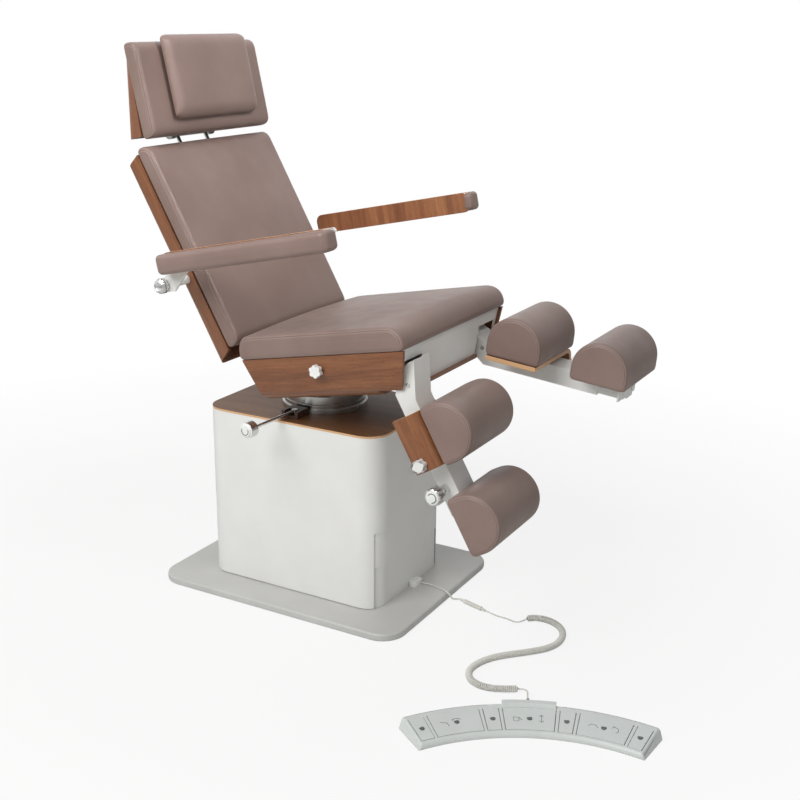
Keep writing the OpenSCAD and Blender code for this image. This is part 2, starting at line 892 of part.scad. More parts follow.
// Back
hinge_world = [0, seat_at.y + hinge_y * cos(seat_tilt) + hinge_z * sin(seat_tilt),
  seat_at.z - hinge_y * sin(seat_tilt) + hinge_z * cos(seat_tilt)];
hinge_back = [0,
  (hinge_world.y - back_at.y) * cos(back_lean) - (hinge_world.z - back_at.z) * sin(back_lean),
  (hinge_world.y - back_at.y) * sin(back_lean) + (hinge_world.z - back_at.z) * cos(back_lean)];
tip_world = [0, back_at.y + tip_y * cos(back_lean) + tip_z * sin(back_lean),
  back_at.z - tip_y * sin(back_lean) + tip_z * cos(back_lean)];
back_lever_tip_seat_y = (tip_world.y - seat_at.y) * cos(seat_tilt)
  - (tip_world.z - seat_at.z) * sin(seat_tilt);
module back_frame() {
  y0 = back_post_y;
  y1 = back_post_y + back_post_w;
  ear0 = ear_x + ear_t + ear_gap;
  arm_x = board_x - arm_bracket_t - arm_hub_gap;
  color(white)
    in_back()
      difference() {
        union() {
          both() {
            box(post_x, post_x + back_post_w, y0, y1, 0, back_frame_top);
            translate([ear0, 0, 0])
              rotate([90, 0, 90])
                linear_extrude(ear_t)
                  polygon([[hinge_back.y, hinge_back.z - hinge_eye * 0.9], [y1, hinge_back.z + hinge_eye],
                    [y1, lower_cross_z], [y0, lower_cross_z], [y0, 0],
                    [hinge_back.y, hinge_back.z + hinge_eye * 0.9]]);
            translate([0, hinge_back.y, hinge_back.z])
              along_x(ear0, ear0 + ear_t, hinge_eye);
            translate([0, arm_pivot_y, arm_pivot_z]) {
              along_x(post_x, arm_x, arm_tube_r);
              along_x(post_x, board_x - arm_hub_gap / 2, arm_spigot_r);
            }
            translate([rod_x, rod_y, socket_bottom])
              cylinder(h = back_frame_top - socket_bottom, r = socket_r);
          }
          box(-back_w / 2 + over, back_w / 2 - over, 0, y0, over, back_len - over);
          box(-post_x, post_x, y0, y1, lower_cross_z, lower_cross_z + cross_w);
          box(-post_x, post_x, y0, y1, upper_cross_z, upper_cross_z + cross_w);
          box(-lever_t / 2, lever_t / 2, tip_y - lever_w / 2, tip_y + lever_w / 2,
            tip_z - lever_w / 2, lower_cross_z + cross_w / 2);
        }
        translate([0, hinge_back.y, hinge_back.z])
          along_x(-seat_w / 2, seat_w / 2, hinge_r + pin_gap);
        both() {
          translate([rod_x, rod_y, socket_bottom - over])
            cylinder(h = back_frame_top - socket_bottom + 2 * over, r = rod_r + pin_gap);
          translate([0, arm_pivot_y, arm_pivot_z])
            along_x(arm_x - over, board_x + over, knob_shank_r + pin_gap);
        }
      }
}
module back_shell() {
  color(walnut)
    in_back()
      difference() {
        mirror([0, 1, 0])
          translate([0, 0, -back_depth])
            linear_extrude(back_len + back_depth)
              shell_section(back_w, back_depth, back_bend);
        rotate([-back_slant, 0, 0])
          box(-back_w, back_w, -over, 2 * back_depth, -3 * back_depth, 0);
        translate([0, 0, back_len])
          rotate([-back_slant / 2, 0, 0])
            box(-back_w, back_w, -over, 2 * back_depth, 0, 3 * back_depth);
        translate([0, arm_pivot_y, arm_pivot_z])
          along_x(-back_w, back_w, arm_tube_r + slide_gap);
      }
}
module back_cushion() {
  color(upholstery)
    in_back()
      translate([0, -seat_gap, 0])
        rotate([90, 0, 0])
          cushion(back_w, back_pad_low, back_pad_top, back_pad_h, back_pad_crown,
            back_pad_round, back_pad_ends);
}

// Headrest
head_pin_back = [0, rod_y, 606];
head_pin_world = [0, back_at.y + head_pin_back.y * cos(back_lean) + head_pin_back.z * sin(back_lean),
  back_at.z - head_pin_back.y * sin(back_lean) + head_pin_back.z * cos(back_lean)];
module headrest_rods() {
  color(steel) {
    in_back()
      both()
        translate([rod_x, rod_y, rod_bottom])
          cylinder(h = head_pin_back.z - rod_bottom, r = rod_r);
    translate(head_pin_world) {
      along_x(-head_tube_w / 2, head_tube_w / 2, head_tube_r);
      along_x(-head_pin_w / 2, head_pin_w / 2, head_pin_r);
    }
  }
}
module headrest_shell() {
  pin_y = head_pin_world.y - head_at.y;
  pin_z = head_pin_world.z - head_at.z;
  low = head_depth * sin(head_lean);
  ear0 = head_tube_w / 2 + slide_gap;
  color(walnut)
    translate(head_at)
      difference() {
        union() {
          difference() {
            translate([0, 0, -low])
              mirror([0, 1, 0])
                linear_extrude(head_len + low)
                  shell_section(head_w, head_depth, head_bend);
            rotate([-head_lean, 0, 0])
              box(-head_w, head_w, -2 * head_len, 0, -head_len, 2 * head_len);
            rotate([-head_lean, 0, 0])
              box(-head_w, head_w, -over, 2 * head_depth, -head_len, 0);
          }
          both() {
            translate([0, pin_y, pin_z])
              along_x(ear0, ear0 + head_ear_w, head_ear_r);
            box(ear0, ear0 + head_ear_w, pin_y - head_ear_r * 0.9, head_depth - ply / 2, pin_z,
              pin_z + head_ear_h);
          }
        }
        translate([0, pin_y, pin_z]) {
          along_x(-ear0 - head_ear_w - over, ear0 + head_ear_w + over, head_pin_r + pin_gap);
          along_x(-ear0, ear0, head_tube_r + slide_gap);
        }
      }
}
module headrest_cushion() {
  color(upholstery)
    in_head()
      translate([0, -seat_gap, 0])
        rotate([90, 0, 0])
          cushion(head_w, head_pad_low, head_pad_top, head_pad_h, head_pad_crown,
            head_pad_round, head_pad_ends);
}
module headrest_pillow() {
  color(upholstery)
    in_head()
      translate([0, -head_pad_h - head_pad_crown - seat_gap * 2, 0])
        rotate([90, 0, 0])
          cushion(pillow_w, pillow_low, pillow_top, pillow_h - pillow_crown, pillow_crown,
            pillow_round, pillow_ends);
}

// Armrests, drawn for the sitter's left
module armrest_bracket(side) {
  hub = arm_hub_r;
  low = board_top - board_h;
  color(white)
    on_side(side)
      in_arm()
        translate([board_x - arm_bracket_t, 0, 0])
          difference() {
            union() {
              face_x()
                cylinder(h = arm_bracket_t, r = hub);
              rotate([90, 0, 90])
                linear_extrude(arm_bracket_t)
                  polygon([[0, -hub * 0.9], [-hub * 1.6, -hub],
                    [-hub * 4.6, low + bracket_drop], [-hub * 4.2, low + board_h / 4],
                    [board_rear - ply, low + board_h / 4], [hub * 0.9, 0]]);
            }
            along_x(-over, over, arm_spigot_r + pin_gap);
          }
}
module board_outline(inset) {
  y0 = board_rear - board_len + inset;
  y1 = board_rear - inset;
  z0 = board_top - board_h + inset;
  z1 = board_top - inset;
  r = board_corner - inset;
  translate([(y0 + y1) / 2, (z0 + z1) / 2])
    rounded(y1 - y0, z1 - z0, r);
}
module armrest_board(side) {
  color(walnut)
    on_side(side)
      in_arm()
        translate([board_x, 0, 0])
          rotate([90, 0, 90])
            linear_extrude(board_t)
              board_outline(0);
}
module armrest_pad(side) {
  y0 = board_rear - board_len - arm_pad_wrap;
  y1 = board_rear - arm_pad_inset;
  color(upholstery)
    on_side(side)
      in_arm()
        translate([board_x + board_t + seat_gap, 0, board_top - board_h / 2])
          rotate([0, 90, 0])
            cushion(board_h - arm_pad_inset, y0, y1, arm_pad_t - arm_pad_crown, arm_pad_crown,
              arm_pad_round, arm_pad_ends);
}
module armrest_knob(side) {
  color(steel)
    on_side(side)
      in_arm()
        translate([board_x, 0, 0]) {
          translate([slide_gap, 0, 0])
            face_x() {
              cylinder(h = arm_knob_t * 0.75, r = arm_knob_r);
              cylinder(h = arm_knob_t, r = arm_knob_r * 0.8);
            }
          along_x(-arm_bracket_t - over / 2, slide_gap, knob_shank_r);
        }
}

// Leg rests, drawn for the sitter's left
module leg_tube(side) {
  x0 = leg_x - tube_w / 2;
  x1 = leg_x + tube_w / 2;
  low = tube_top - tube_h;
  color(white)
    in_leg(side)
      difference() {
        union() {
          difference() {
            box(x0, x1, -tube_reach, -tube_start, low, tube_top);
            box(x0 + tube_wall, x1 - tube_wall, -tube_reach - over, -tube_start + over,
              low + tube_wall, tube_top - tube_wall);
          }
          for (x = [x0, x1 - cheek_t])
            translate([x, 0, 0])
              rotate([90, 0, 90])
                linear_extrude(cheek_t)
                  polygon([[-tube_start, low], [-tube_start / 4, low], [tip_s * 0.55, -tip_n * 0.4],
                    [tip_s, tip_n * 0.55], [tip_s, tip_n], [-tube_start, tube_top]]);
          translate([x0, 0, 0])
            rotate([90, 0, 90])
              linear_extrude(tube_w)
                polygon([[-tube_start - tube_wall, tube_top], [-tube_start, tube_top - tube_wall],
                  [tip_s, tip_n - tube_wall], [tip_s, tip_n]]);
        }
        along_x(x0 - over, x1 + over, leg_pin_r + pin_gap);
        translate([x1, -slide_knob_s, tube_top - tube_h / 2 - knob_drop])
          along_x(-tube_wall * 2, over, slide_shank_r + pin_gap);
      }
}
function tray_points(t) =
  let(r = tray_bend, cx = tray_outer - r, cz = tray_bottom + tray_t - r)
  [for (i = [0 : shell_arc])
    let(a = 90 * i / shell_arc)
    [cx + (r - t) * cos(a), cz + (r - t) * sin(a)]];
module calf_tray(side) {
  outer = concat([[tray_outer, tray_skirt_low]], tray_points(0), [[tray_inner, tray_bottom + tray_t]]);
  inner = concat([[tray_outer - tray_t, tray_skirt_low]], tray_points(tray_t),
    [[tray_inner, tray_bottom]]);
  color(walnut)
    in_leg(side)
      difference() {
        translate([0, -tray_start, 0])
          rotate([90, 0, 0])
            linear_extrude(tray_len)
              polygon(concat(outer, reversed(inner)));
        translate([tray_outer, -tray_knob_s, tray_knob_n])
          along_x(-over, over, slide_shank_r + slide_gap);
      }
}
module tray_clamp(side) {
  y0 = -carriage_start - carriage_len;
  y1 = -carriage_start;
  cheek_x = leg_x + tube_w / 2 + slide_gap;
  color(white)
    in_leg(side)
      difference() {
        union() {
          box(carriage_inner, carriage_outer, y0, y1, tube_top + slide_gap, tray_bottom);
          box(cheek_x, cheek_x + carriage_cheek, y0, y1, tube_top - tube_h, tray_bottom);
          translate([0, -tray_knob_s, tray_knob_n])
            along_x(cheek_x + carriage_cheek / 2, tray_outer + slide_gap, slide_shank_r);
          translate([tray_outer + slide_gap, -tray_knob_s, tray_knob_n])
            face_x()
              lobed_knob(knob_r, knob_t * 1.3);
        }
      }
}
module leg_pad(x0, s0, n0) {
  // a D-shaped bolster: an upright block under half a barrel, with rounded rims
  r = leg_pad_len / 2;
  side_h = leg_pad_h - r;
  color(upholstery)
    translate([x0, -s0 - leg_pad_len / 2, n0 + seat_gap]) {
      translate([leg_pad_w / 2, 0, 0])
        rounded_slab(leg_pad_w, leg_pad_len, side_h, rim_r);
      translate([0, 0, side_h])
        intersection() {
          rotate([0, 90, 0])
            rotate_extrude($fn = 96)
              polygon(concat([[0, 0]],
                [for (a = [0 : 15 : 90]) [r - rim_r + rim_r * sin(a), rim_r - rim_r * cos(a)]],
                [for (a = [90 : 15 : 180])
                  [r - rim_r + rim_r * sin(a), leg_pad_w - rim_r - rim_r * cos(a)]],
                [[0, leg_pad_w]]));
          translate([-over, -leg_pad_len, 0])
            cube([leg_pad_w + 2 * over, 2 * leg_pad_len, leg_pad_h]);
        }
    }
}
module calf_cushion(side) {
  in_leg(side)
    leg_pad(calf_inner, calf_start, tray_bottom + tray_t);
}
module heel_cushion(side) {
  in_leg(side)
    leg_pad(heel_inner, heel_start, tube_top + slide_gap + carrier_t);
}
module leg_slide(side) {
  x0 = leg_x - tube_w / 2 + tube_wall + slide_gap;
  x1 = leg_x + tube_w / 2 - tube_wall - slide_gap;
  top = tube_top - tube_wall - slide_gap;
  low = tube_top - tube_h + tube_wall + slide_gap;
  plate_z = tube_top + slide_gap;
  heel_end = heel_start + leg_pad_len;
  color(white)
    in_leg(side)
      difference() {
        union() {
          box(x0, x1, -bar_end, -bar_start, low, top);
          box(leg_x - riser_w / 2, leg_x + riser_w / 2, -bar_end - end_plate_t, -riser_start, low,
            plate_z + carrier_t);
          box(leg_x - carrier_w / 2, leg_x + carrier_w / 2, -heel_end + rim_r, -heel_start - rim_r,
            plate_z, plate_z + carrier_t);
          box(end_plate_x - end_plate_w / 2, end_plate_x + end_plate_w / 2,
            -bar_end - end_plate_t, -bar_end, end_plate_low, plate_z + carrier_t);
        }
        for (sx = [-1, 1])
          translate([end_plate_x + sx * end_slot_x, -bar_end - end_plate_t / 2,
            end_plate_low + end_slot_h])
            cube([end_slot_w, over, end_slot_h], center = true);
      }
}
module slide_knob(side) {
  x0 = leg_x + tube_w / 2 + slide_gap;
  color(steel)
    in_leg(side)
      translate([x0, -slide_knob_s, tube_top - tube_h / 2 - knob_drop]) {
        along_x(-tube_wall - slide_gap, 0, slide_shank_r);
        along_x(0, collar_len, collar_r);
        along_x(collar_len, collar_len + slide_knob_t, slide_knob_r);
        along_x(collar_len + slide_knob_t, collar_len + slide_knob_t + grip_cap_t,
          slide_knob_r * 0.75);
      }
}

// Foot control
control_in = control_r - control_d;
function top_z(r) = control_front_h + (control_h - control_front_h) * (r - control_in) / control_d;
module sector(half, points) {
  rotate([0, 0, -half])
    rotate_extrude(angle = 2 * half, $fn = 180)
      polygon(points);
}
module pad_sector(half, r0, r1, z0, z1) {
  sector(half, [[r0, top_z(r0) + z0], [r1, top_z(r1) + z0], [r1, top_z(r1) + z1],
    [r0, top_z(r0) + z1]]);
}
pad_r0 = control_in + pad_inset;
pad_r1 = control_r - pad_inset * 1.6;
module foot_control() {
  color(white)
    in_control() {
      difference() {
        union() {
          sector(control_half, [[control_in, 0], [control_r, 0],
            [control_r, control_h - pad_inset / 2],
            [control_r - pad_inset / 2, control_h - pad_inset / 10],
            [control_in + pad_inset / 2, top_z(control_in + pad_inset / 2)],
            [control_in, control_front_h - pad_inset / 3]]);
          sector(hub_half, [[control_r - hub_d, control_h / 2], [control_r + dot_t, control_h / 2],
            [control_r + dot_t, hub_h], [control_r - hub_d / 2, hub_h]]);
        }
        for (i = [-3 : 3])
          rotate([0, 0, -i * pad_pitch])
            pad_sector((i % 2 == 0 ? rocker_half : button_half) + pad_gap_r / 10,
              pad_r0 - pad_gap_r, pad_r1 + pad_gap_r, -pocket_h, over);
      }
      for (i = [-2 : 2 : 2])
        rotate([0, 0, -i * pad_pitch])
          pad_sector(ridge_half, pad_r0 + pad_inset, pad_r1 - pad_inset, -pocket_h - dot_t,
            pad_rise - pad_t - pin_gap);
      translate([control_r, 0, curl_z])
        rotate([0, 90, 0])
          difference() {
            translate([0, 0, -dot_t])
              cylinder(h = relief_len, r1 = relief_r, r2 = relief_tip_r);
            translate([0, 0, relief_len - 1.5 * cord_d])
              cylinder(h = over, r = cord_d / 2 + pin_gap);
          }
    }
}
module foot_pad(i) {
  half = i % 2 == 0 ? rocker_half : button_half;
  mid = (pad_r0 + pad_r1) / 2;
  color(white)
    in_control()
      rotate([0, 0, -i * pad_pitch]) {
        pad_sector(half - pad_gap_r / 10, pad_r0, pad_r1, pad_rise - pad_t, pad_rise);
        translate([mid, 0, top_z(mid) + pad_rise - dot_t])
          cylinder(h = dot_t * 2, r = dot_r);
      }
}

// Cords: a tube swept along points
function spline(p, i, t) =
  let(n = len(p) - 1,
    a = p[max(i - 1, 0)], b = p[i], c = p[min(i + 1, n)], d = p[min(i + 2, n)])
  0.5 * ((2 * b) + (c - a) * t + (2 * a - 5 * b + 4 * c - d) * t * t
    + (3 * b - a - 3 * c + d) * t * t * t);
function unit(v) = v / norm(v);
function tangent(p, i) = unit(p[min(i + 1, len(p) - 1)] - p[max(i - 1, 0)]);
function side_of(t) = unit(cross(t, [0, 0, 1]));
// The side direction is carried along the path, so that the tube doesn't twist
function carried(p, i = 1, acc = []) =
  i > len(p) ? acc
  : let(t = tangent(p, i - 1), s = i == 1 ? side_of(t) : acc[i - 2])
    carried(p, i + 1, concat(acc, [unit(s - t * (s * t))]));
function ring(c, t, u, r, sides) =
  let(v = cross(t, u))
  [for (k = [0 : sides - 1]) c + r * (cos(360 * k / sides) * u + sin(360 * k / sides) * v)];
module swept(points, r, sides) {
  us = carried(points);
  ringed([for (i = [0 : len(points) - 1])
    ring(points[i], tangent(points, i), us[i], r, sides)]);
}
lead_points = [for (i = [0 : len(lead_route) - 2], t = [0, 0.5])
  spline(lead_route, i, t)];
module lead_cord() {
  color(white)
    swept(concat(lead_points, [lead_route[len(lead_route) - 1]]), cord_d / 2, 8);
}
module cord_coupler() {
  run = [coupler_to.x - coupler_from.x, coupler_to.y - coupler_from.y];
  color(white)
    translate([coupler_from.x, coupler_from.y, coupler_z])
      rotate([0, 0, atan2(run.y, run.x)])
        rotate([0, 90, 0]) {
          cylinder(h = norm(run), r = coupler_r * 0.6);
          translate([0, 0, norm(run) * 0.16])
            cylinder(h = norm(run) * 0.68, r = coupler_r);
        }
}
// The curled stretch winds about the route's middle points
curl_fine = 12;
axis_points = [for (i = [curl_in : curl_out - 1], k = [0 : curl_fine - 1])
  spline(curl_route, i, k / curl_fine)];
axis_all = concat(axis_points, [curl_route[curl_out]]);
function runs(p, i = 1, acc = [0]) =
  i >= len(p) ? acc : runs(p, i + 1, concat(acc, [acc[i - 1] + norm(p[i] - p[i - 1])]));
axis_run = runs(axis_all);
axis_len = axis_run[len(axis_run) - 1];
function at_run(s) = lookup_point(s, [for (i = [0 : len(axis_run) - 1]) if (axis_run[i] <= s) i]);
function lookup_point(s, below) =
  let(i = min(below[len(below) - 1], len(axis_all) - 2),
    t = (s - axis_run[i]) / (axis_run[i + 1] - axis_run[i]))
  axis_all[i] * (1 - t) + axis_all[i + 1] * t;
curl_r = (curl_od - cord_d) / 2;
helix_n = curls * curl_rings;
function ramp(u) = let(e = min(u, 1 - u) * curls) e >= 1 ? 1 : sin(90 * e);
helix_points = [for (i = [0 : helix_n])
  let(u = i / helix_n, s = u * axis_len,
    c = at_run(s), ahead = at_run(min(s + cord_d, axis_len)),
    behind = at_run(max(s - cord_d, 0)),
    t = unit(ahead - behind), n = side_of(t), b = cross(t, n), a = 360 * i / curl_rings)
  c + ramp(u) * curl_r * (n * cos(a) + b * sin(a))];
function window_gap(i) = min([for (j = [i + 5 : min(i + 14, helix_n)])
  norm(helix_points[j] - helix_points[i])]);
least_gap = min([for (i = [curl_rings : helix_n - curl_rings - 6]) window_gap(i)]) - cord_d;
echo(curl_gap = least_gap, curl_axis = axis_len);
curl_lead = [for (i = [0 : curl_in - 1], t = [0, 0.5]) spline(curl_route, i, t)];
curl_tail = [for (i = [curl_out : len(curl_route) - 2], t = [0.5, 1]) spline(curl_route, i, t)];
module curly_cord() {
  color(white)
    swept(concat(curl_lead, helix_points, curl_tail), cord_d / 2, cord_sides);
}

base_plate();
levelling_feet();
lower_cover();
middle_cover();
upper_cover();
top_panel();
lift_column_outer();
lift_column_inner();
turntable_base();
turntable_plate();
brake_clamp();
brake_lever();
cord_gland();
seat_frame();
seat_shell();
seat_front_plate();
seat_cushion();
seat_knob();
pivot_pins();
back_actuator_rod();
back_frame();
back_shell();
back_cushion();
headrest_rods();
headrest_shell();
headrest_cushion();
headrest_pillow();
armrest_bracket(1);  // armrest_bracket_left
armrest_bracket(-1);  // armrest_bracket_right
armrest_board(1);  // armrest_board_left
armrest_board(-1);  // armrest_board_right
armrest_pad(1);  // armrest_pad_left
armrest_pad(-1);  // armrest_pad_right
armrest_knob(1);  // armrest_knob_left
armrest_knob(-1);  // armrest_knob_right
leg_tube(1);  // leg_tube_left
leg_tube(-1);  // leg_tube_right
calf_tray(1);  // calf_tray_left
calf_tray(-1);  // calf_tray_right
tray_clamp(1);  // tray_clamp_left
tray_clamp(-1);  // tray_clamp_right
calf_cushion(1);  // calf_cushion_left
calf_cushion(-1);  // calf_cushion_right
leg_slide(1);  // leg_slide_left
leg_slide(-1);  // leg_slide_right
heel_cushion(1);  // heel_cushion_left
heel_cushion(-1);  // heel_cushion_right
slide_knob(1);  // slide_knob_left
slide_knob(-1);  // slide_knob_right
foot_control();
foot_pad(-2);  // rocker_left
foot_pad(0);  // rocker_middle
foot_pad(2);  // rocker_right
foot_pad(-3);  // foot_button_1
foot_pad(-1);  // foot_button_2
foot_pad(1);  // foot_button_3
foot_pad(3);  // foot_button_4
lead_cord();
cord_coupler();
curly_cord();
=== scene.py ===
import json
import math
import bpy
import bmesh
from mathutils import Matrix, Vector


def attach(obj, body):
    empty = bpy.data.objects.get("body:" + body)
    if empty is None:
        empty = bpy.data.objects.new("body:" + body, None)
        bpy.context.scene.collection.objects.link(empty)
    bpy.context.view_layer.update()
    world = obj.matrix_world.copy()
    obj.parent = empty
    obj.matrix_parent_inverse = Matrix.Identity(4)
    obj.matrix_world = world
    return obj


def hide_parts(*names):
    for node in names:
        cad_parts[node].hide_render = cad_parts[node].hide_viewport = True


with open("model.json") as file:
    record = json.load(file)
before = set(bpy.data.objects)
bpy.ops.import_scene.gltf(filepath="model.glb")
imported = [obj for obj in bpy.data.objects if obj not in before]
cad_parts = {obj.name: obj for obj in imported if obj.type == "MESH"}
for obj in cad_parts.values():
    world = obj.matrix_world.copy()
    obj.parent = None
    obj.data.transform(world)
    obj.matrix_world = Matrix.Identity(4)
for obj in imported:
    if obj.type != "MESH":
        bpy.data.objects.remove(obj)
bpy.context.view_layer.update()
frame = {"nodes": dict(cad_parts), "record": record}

mm = 0.001
scene = bpy.context.scene
nodes = frame["nodes"]


# Spaces that the pieces are drawn in, in millimetres, as the CAD parts are. A lean, in degrees, is how
# the part stands in the photo: with a minus it leans back or its front is raised.
def spaceAt(place, lean, inside=None):
    turned = Matrix.Translation(Vector(place)) @ Matrix.Rotation(math.radians(lean), 4, "X")
    return (inside or Matrix.Scale(mm, 4)) @ turned


worldSpace = Matrix.Scale(mm, 4)
leans = {"seat": -10.8, "back": -29.5, "head": -12.5, "board": -12.2, "left": 6, "right": 60.3}
seatSpace = spaceAt((0, 72, 685), leans["seat"])
backSpace = spaceAt((0, 125, 702), leans["back"])
headSpace = spaceAt((0, 389, 1232), leans["head"])
armSpace = spaceAt((0, 31, 215), leans["board"] - leans["back"], backSpace)
legSpace = {side: spaceAt((0, -398, 682), leans[side]) for side in ("left", "right")}
controlSpace = worldSpace @ Matrix.Translation((-930, -1070, 0)) @ Matrix.Rotation(math.radians(25.9), 4, "Z")
flipX = Matrix.Scale(-1, 4, (1, 0, 0))
sides = {"left": Matrix.Identity(4), "right": flipX}


# Camera: fitted to the photograph's straight edges
cameraView = {"place": (-2725.4, -1776.5, 1541.2), "azimuth": -60.56, "pitch": 17.52, "roll": 0.48, "lens": 55.16,
              "sensor": 36}
cameraData = bpy.data.cameras.new("photoCamera")
cameraData.lens = cameraView["lens"]
cameraData.sensor_width = cameraView["sensor"]
camera = bpy.data.objects.new("photoCamera", cameraData)
scene.collection.objects.link(camera)
camera.matrix_world = (
    Matrix.Translation(Vector(cameraView["place"]) * mm)
    @ Matrix.Rotation(math.radians(cameraView["azimuth"]), 4, "Z")
    @ Matrix.Rotation(math.radians(90 - cameraView["pitch"]), 4, "X")
    @ Matrix.Rotation(math.radians(cameraView["roll"]), 4, "Z")
)
scene.camera = camera
scene.view_settings.view_transform = "Standard"


# Small tools for materials
def hexColour(text):
    channels = [int(text[i:i + 2], 16) / 255 for i in (1, 3, 5)]
    return [c / 12.92 if c <= 0.04045 else ((c + 0.055) / 1.055) ** 2.4 for c in channels] + [1]


def perMetre(size):
    return 1 / (size * mm)      # texture scale of a feature that is size millimetres wide


def addNode(tree, kind, settings=None, links=None):
    node = tree.nodes.new("ShaderNode" + kind)
    for name, value in (settings or {}).items():
        if isinstance(name, str) and hasattr(node, name):
            setattr(node, name, value)
        else:
            node.inputs[name].default_value = value
    for name, source in (links or {}).items():
        tree.links.new(source, node.inputs[name])
    return node


def newMaterial(name, settings):
    material = bpy.data.materials.new(name)
    material.use_nodes = True
    tree = material.node_tree
    shader = tree.nodes["Principled BSDF"]
    for socket, value in settings.items():
        shader.inputs[socket].default_value = value
    return material, tree, shader


def localVector(tree, lean=0, stretch=(1, 1, 1)):
    place = addNode(tree, "TexCoord")
    turned = addNode(tree, "Mapping", {"vector_type": "TEXTURE", "Rotation": (math.radians(lean), 0, 0),
                                       "Scale": stretch}, {"Vector": place.outputs["Object"]})
    return turned.outputs["Vector"]


def rampOf(tree, source, stops):
    ramp = addNode(tree, "ValToRGB", None, {"Fac": source})
    band = ramp.color_ramp
    while len(band.elements) < len(stops):
        band.elements.new(0.5)
    for element, (place, colour) in zip(band.elements, stops):
        element.position = place
        element.color = hexColour(colour)
    return ramp.outputs["Color"]


def blendColour(tree, factor, first, second):
    mixed = addNode(tree, "Mix", {"data_type": "RGBA"})
    for index, value in ((0, factor), (6, first), (7, second)):
        if hasattr(value, "is_linked"):
            tree.links.new(value, mixed.inputs[index])
        else:
            mixed.inputs[index].default_value = value
    return mixed.outputs[2]


def mathOf(tree, how, *values):
    step = addNode(tree, "Math", {"operation": how})
    for index, value in enumerate(values):
        if hasattr(value, "is_linked"):
            tree.links.new(value, step.inputs[index])
        else:
            step.inputs[index].default_value = value
    return step.outputs[0]


def fall(tree, source, low, high, atLow=1, atHigh=0):
    ranged = addNode(tree, "MapRange", {"From Min": low, "From Max": high, "To Min": atLow, "To Max": atHigh},
                     {"Value": source})
    return ranged.outputs["Result"]


def giveBump(tree, shader, height, strength, distance):
    bump = addNode(tree, "Bump", {"Strength": strength, "Distance": distance * mm}, {"Height": height})
    tree.links.new(bump.outputs["Normal"], shader.inputs["Normal"])


# Leatherette: PVC-coated knit with an embossed pebble grain, drawn over foam. The eye sees a soft broad sheen, and
# where the panels are sewn a fine crease with painted shade in it, a raised welt with a painted highlight on it, and
# small puckers beside it.
# the welt colour is a painted highlight on the raised welt, and the seam colour is painted shade in the crease
leather = {"light": "#8c766e", "dark": "#826c64", "seam": "#65534c", "welt": "#a3918a", "thread": "#75625b",
           "pebble": 2.4, "cloud": 160, "worn": 45, "roughness": 0.42, "crease": (0.3, 1.3), "weltPlace": 2.2,
           "weltEdge": (0.5, 1.3), "stitchPlace": 4.8, "stitchEdge": (0.4, 0.9), "stitch": 6.0, "dash": 0.66,
           "pucker": 13, "puckerReach": (2.0, 14.0), "puckerWander": 30.0, "relief": 0.35}


def makeLeatherette():
    material, tree, shader = newMaterial("leatherette", {"Specular IOR Level": 0.5, "Sheen Weight": 0.1,
                                                         "Sheen Roughness": 0.45})
    place = localVector(tree)
    cloud = addNode(tree, "TexNoise", {"Scale": perMetre(leather["cloud"]), "Detail": 3.0}, {"Vector": place})
    tone = rampOf(tree, cloud.outputs["Fac"], [(0.35, leather["dark"]), (0.65, leather["light"])])
    fromSeam = addNode(tree, "Attribute", {"attribute_name": "fromSeam"}).outputs["Fac"]
    alongSeam = addNode(tree, "Attribute", {"attribute_name": "alongSeam"}).outputs["Fac"]
    gap = mathOf(tree, "ABSOLUTE", fromSeam)
    crease = fall(tree, gap, *leather["crease"])

    def lineAt(distance, edge):
        return fall(tree, mathOf(tree, "ABSOLUTE", mathOf(tree, "SUBTRACT", gap, distance)), *edge)

    welt = lineAt(leather["weltPlace"], leather["weltEdge"])
    stitchRun = mathOf(tree, "FRACT", mathOf(tree, "DIVIDE", alongSeam, leather["stitch"]))
    stitches = mathOf(tree, "MULTIPLY", lineAt(leather["stitchPlace"], leather["stitchEdge"]),
                      mathOf(tree, "LESS_THAN", stitchRun, leather["dash"]))
    tone = blendColour(tree, mathOf(tree, "MULTIPLY", stitches, 0.15), tone, hexColour(leather["thread"]))
    # painted highlight: the raised welt beside the seam is lightened where it catches the light
    tone = blendColour(tree, mathOf(tree, "MULTIPLY", welt, 0.3), tone, hexColour(leather["welt"]))
    # painted shade: the pinched crease of the seam is darkened where shade falls in it
    tone = blendColour(tree, mathOf(tree, "MULTIPLY", crease, 0.5), tone, hexColour(leather["seam"]))
    tree.links.new(tone, shader.inputs["Base Color"])
    pebble = addNode(tree, "TexVoronoi", {"feature": "SMOOTH_F1", "Scale": perMetre(leather["pebble"])},
                     {"Vector": place})
    wander = mathOf(tree, "MULTIPLY", cloud.outputs["Fac"], leather["puckerWander"])
    ripple = mathOf(tree, "SINE", mathOf(tree, "MULTIPLY_ADD", alongSeam, 2 * math.pi / leather["pucker"], wander))
    pucker = mathOf(tree, "MULTIPLY", ripple, fall(tree, gap, *leather["puckerReach"]))
    height = mathOf(tree, "ADD", mathOf(tree, "MULTIPLY", pebble.outputs["Distance"], 0.5),
                    mathOf(tree, "MULTIPLY", pucker, 0.6))
    height = mathOf(tree, "SUBTRACT", height, mathOf(tree, "MULTIPLY", crease, 1.4))
    height = mathOf(tree, "ADD", height, mathOf(tree, "MULTIPLY", welt, 0.8))
    height = mathOf(tree, "ADD", height, mathOf(tree, "MULTIPLY", stitches, 0.3))
    giveBump(tree, shader, height, leather["relief"], 0.35)
    worn = addNode(tree, "TexNoise", {"Scale": perMetre(leather["worn"]), "Detail": 4.0}, {"Vector": place})
    tree.links.new(fall(tree, worn.outputs["Fac"], 0.3, 0.7, leather["roughness"] - 0.05,
                        leather["roughness"] + 0.06), shader.inputs["Roughness"])
    return material


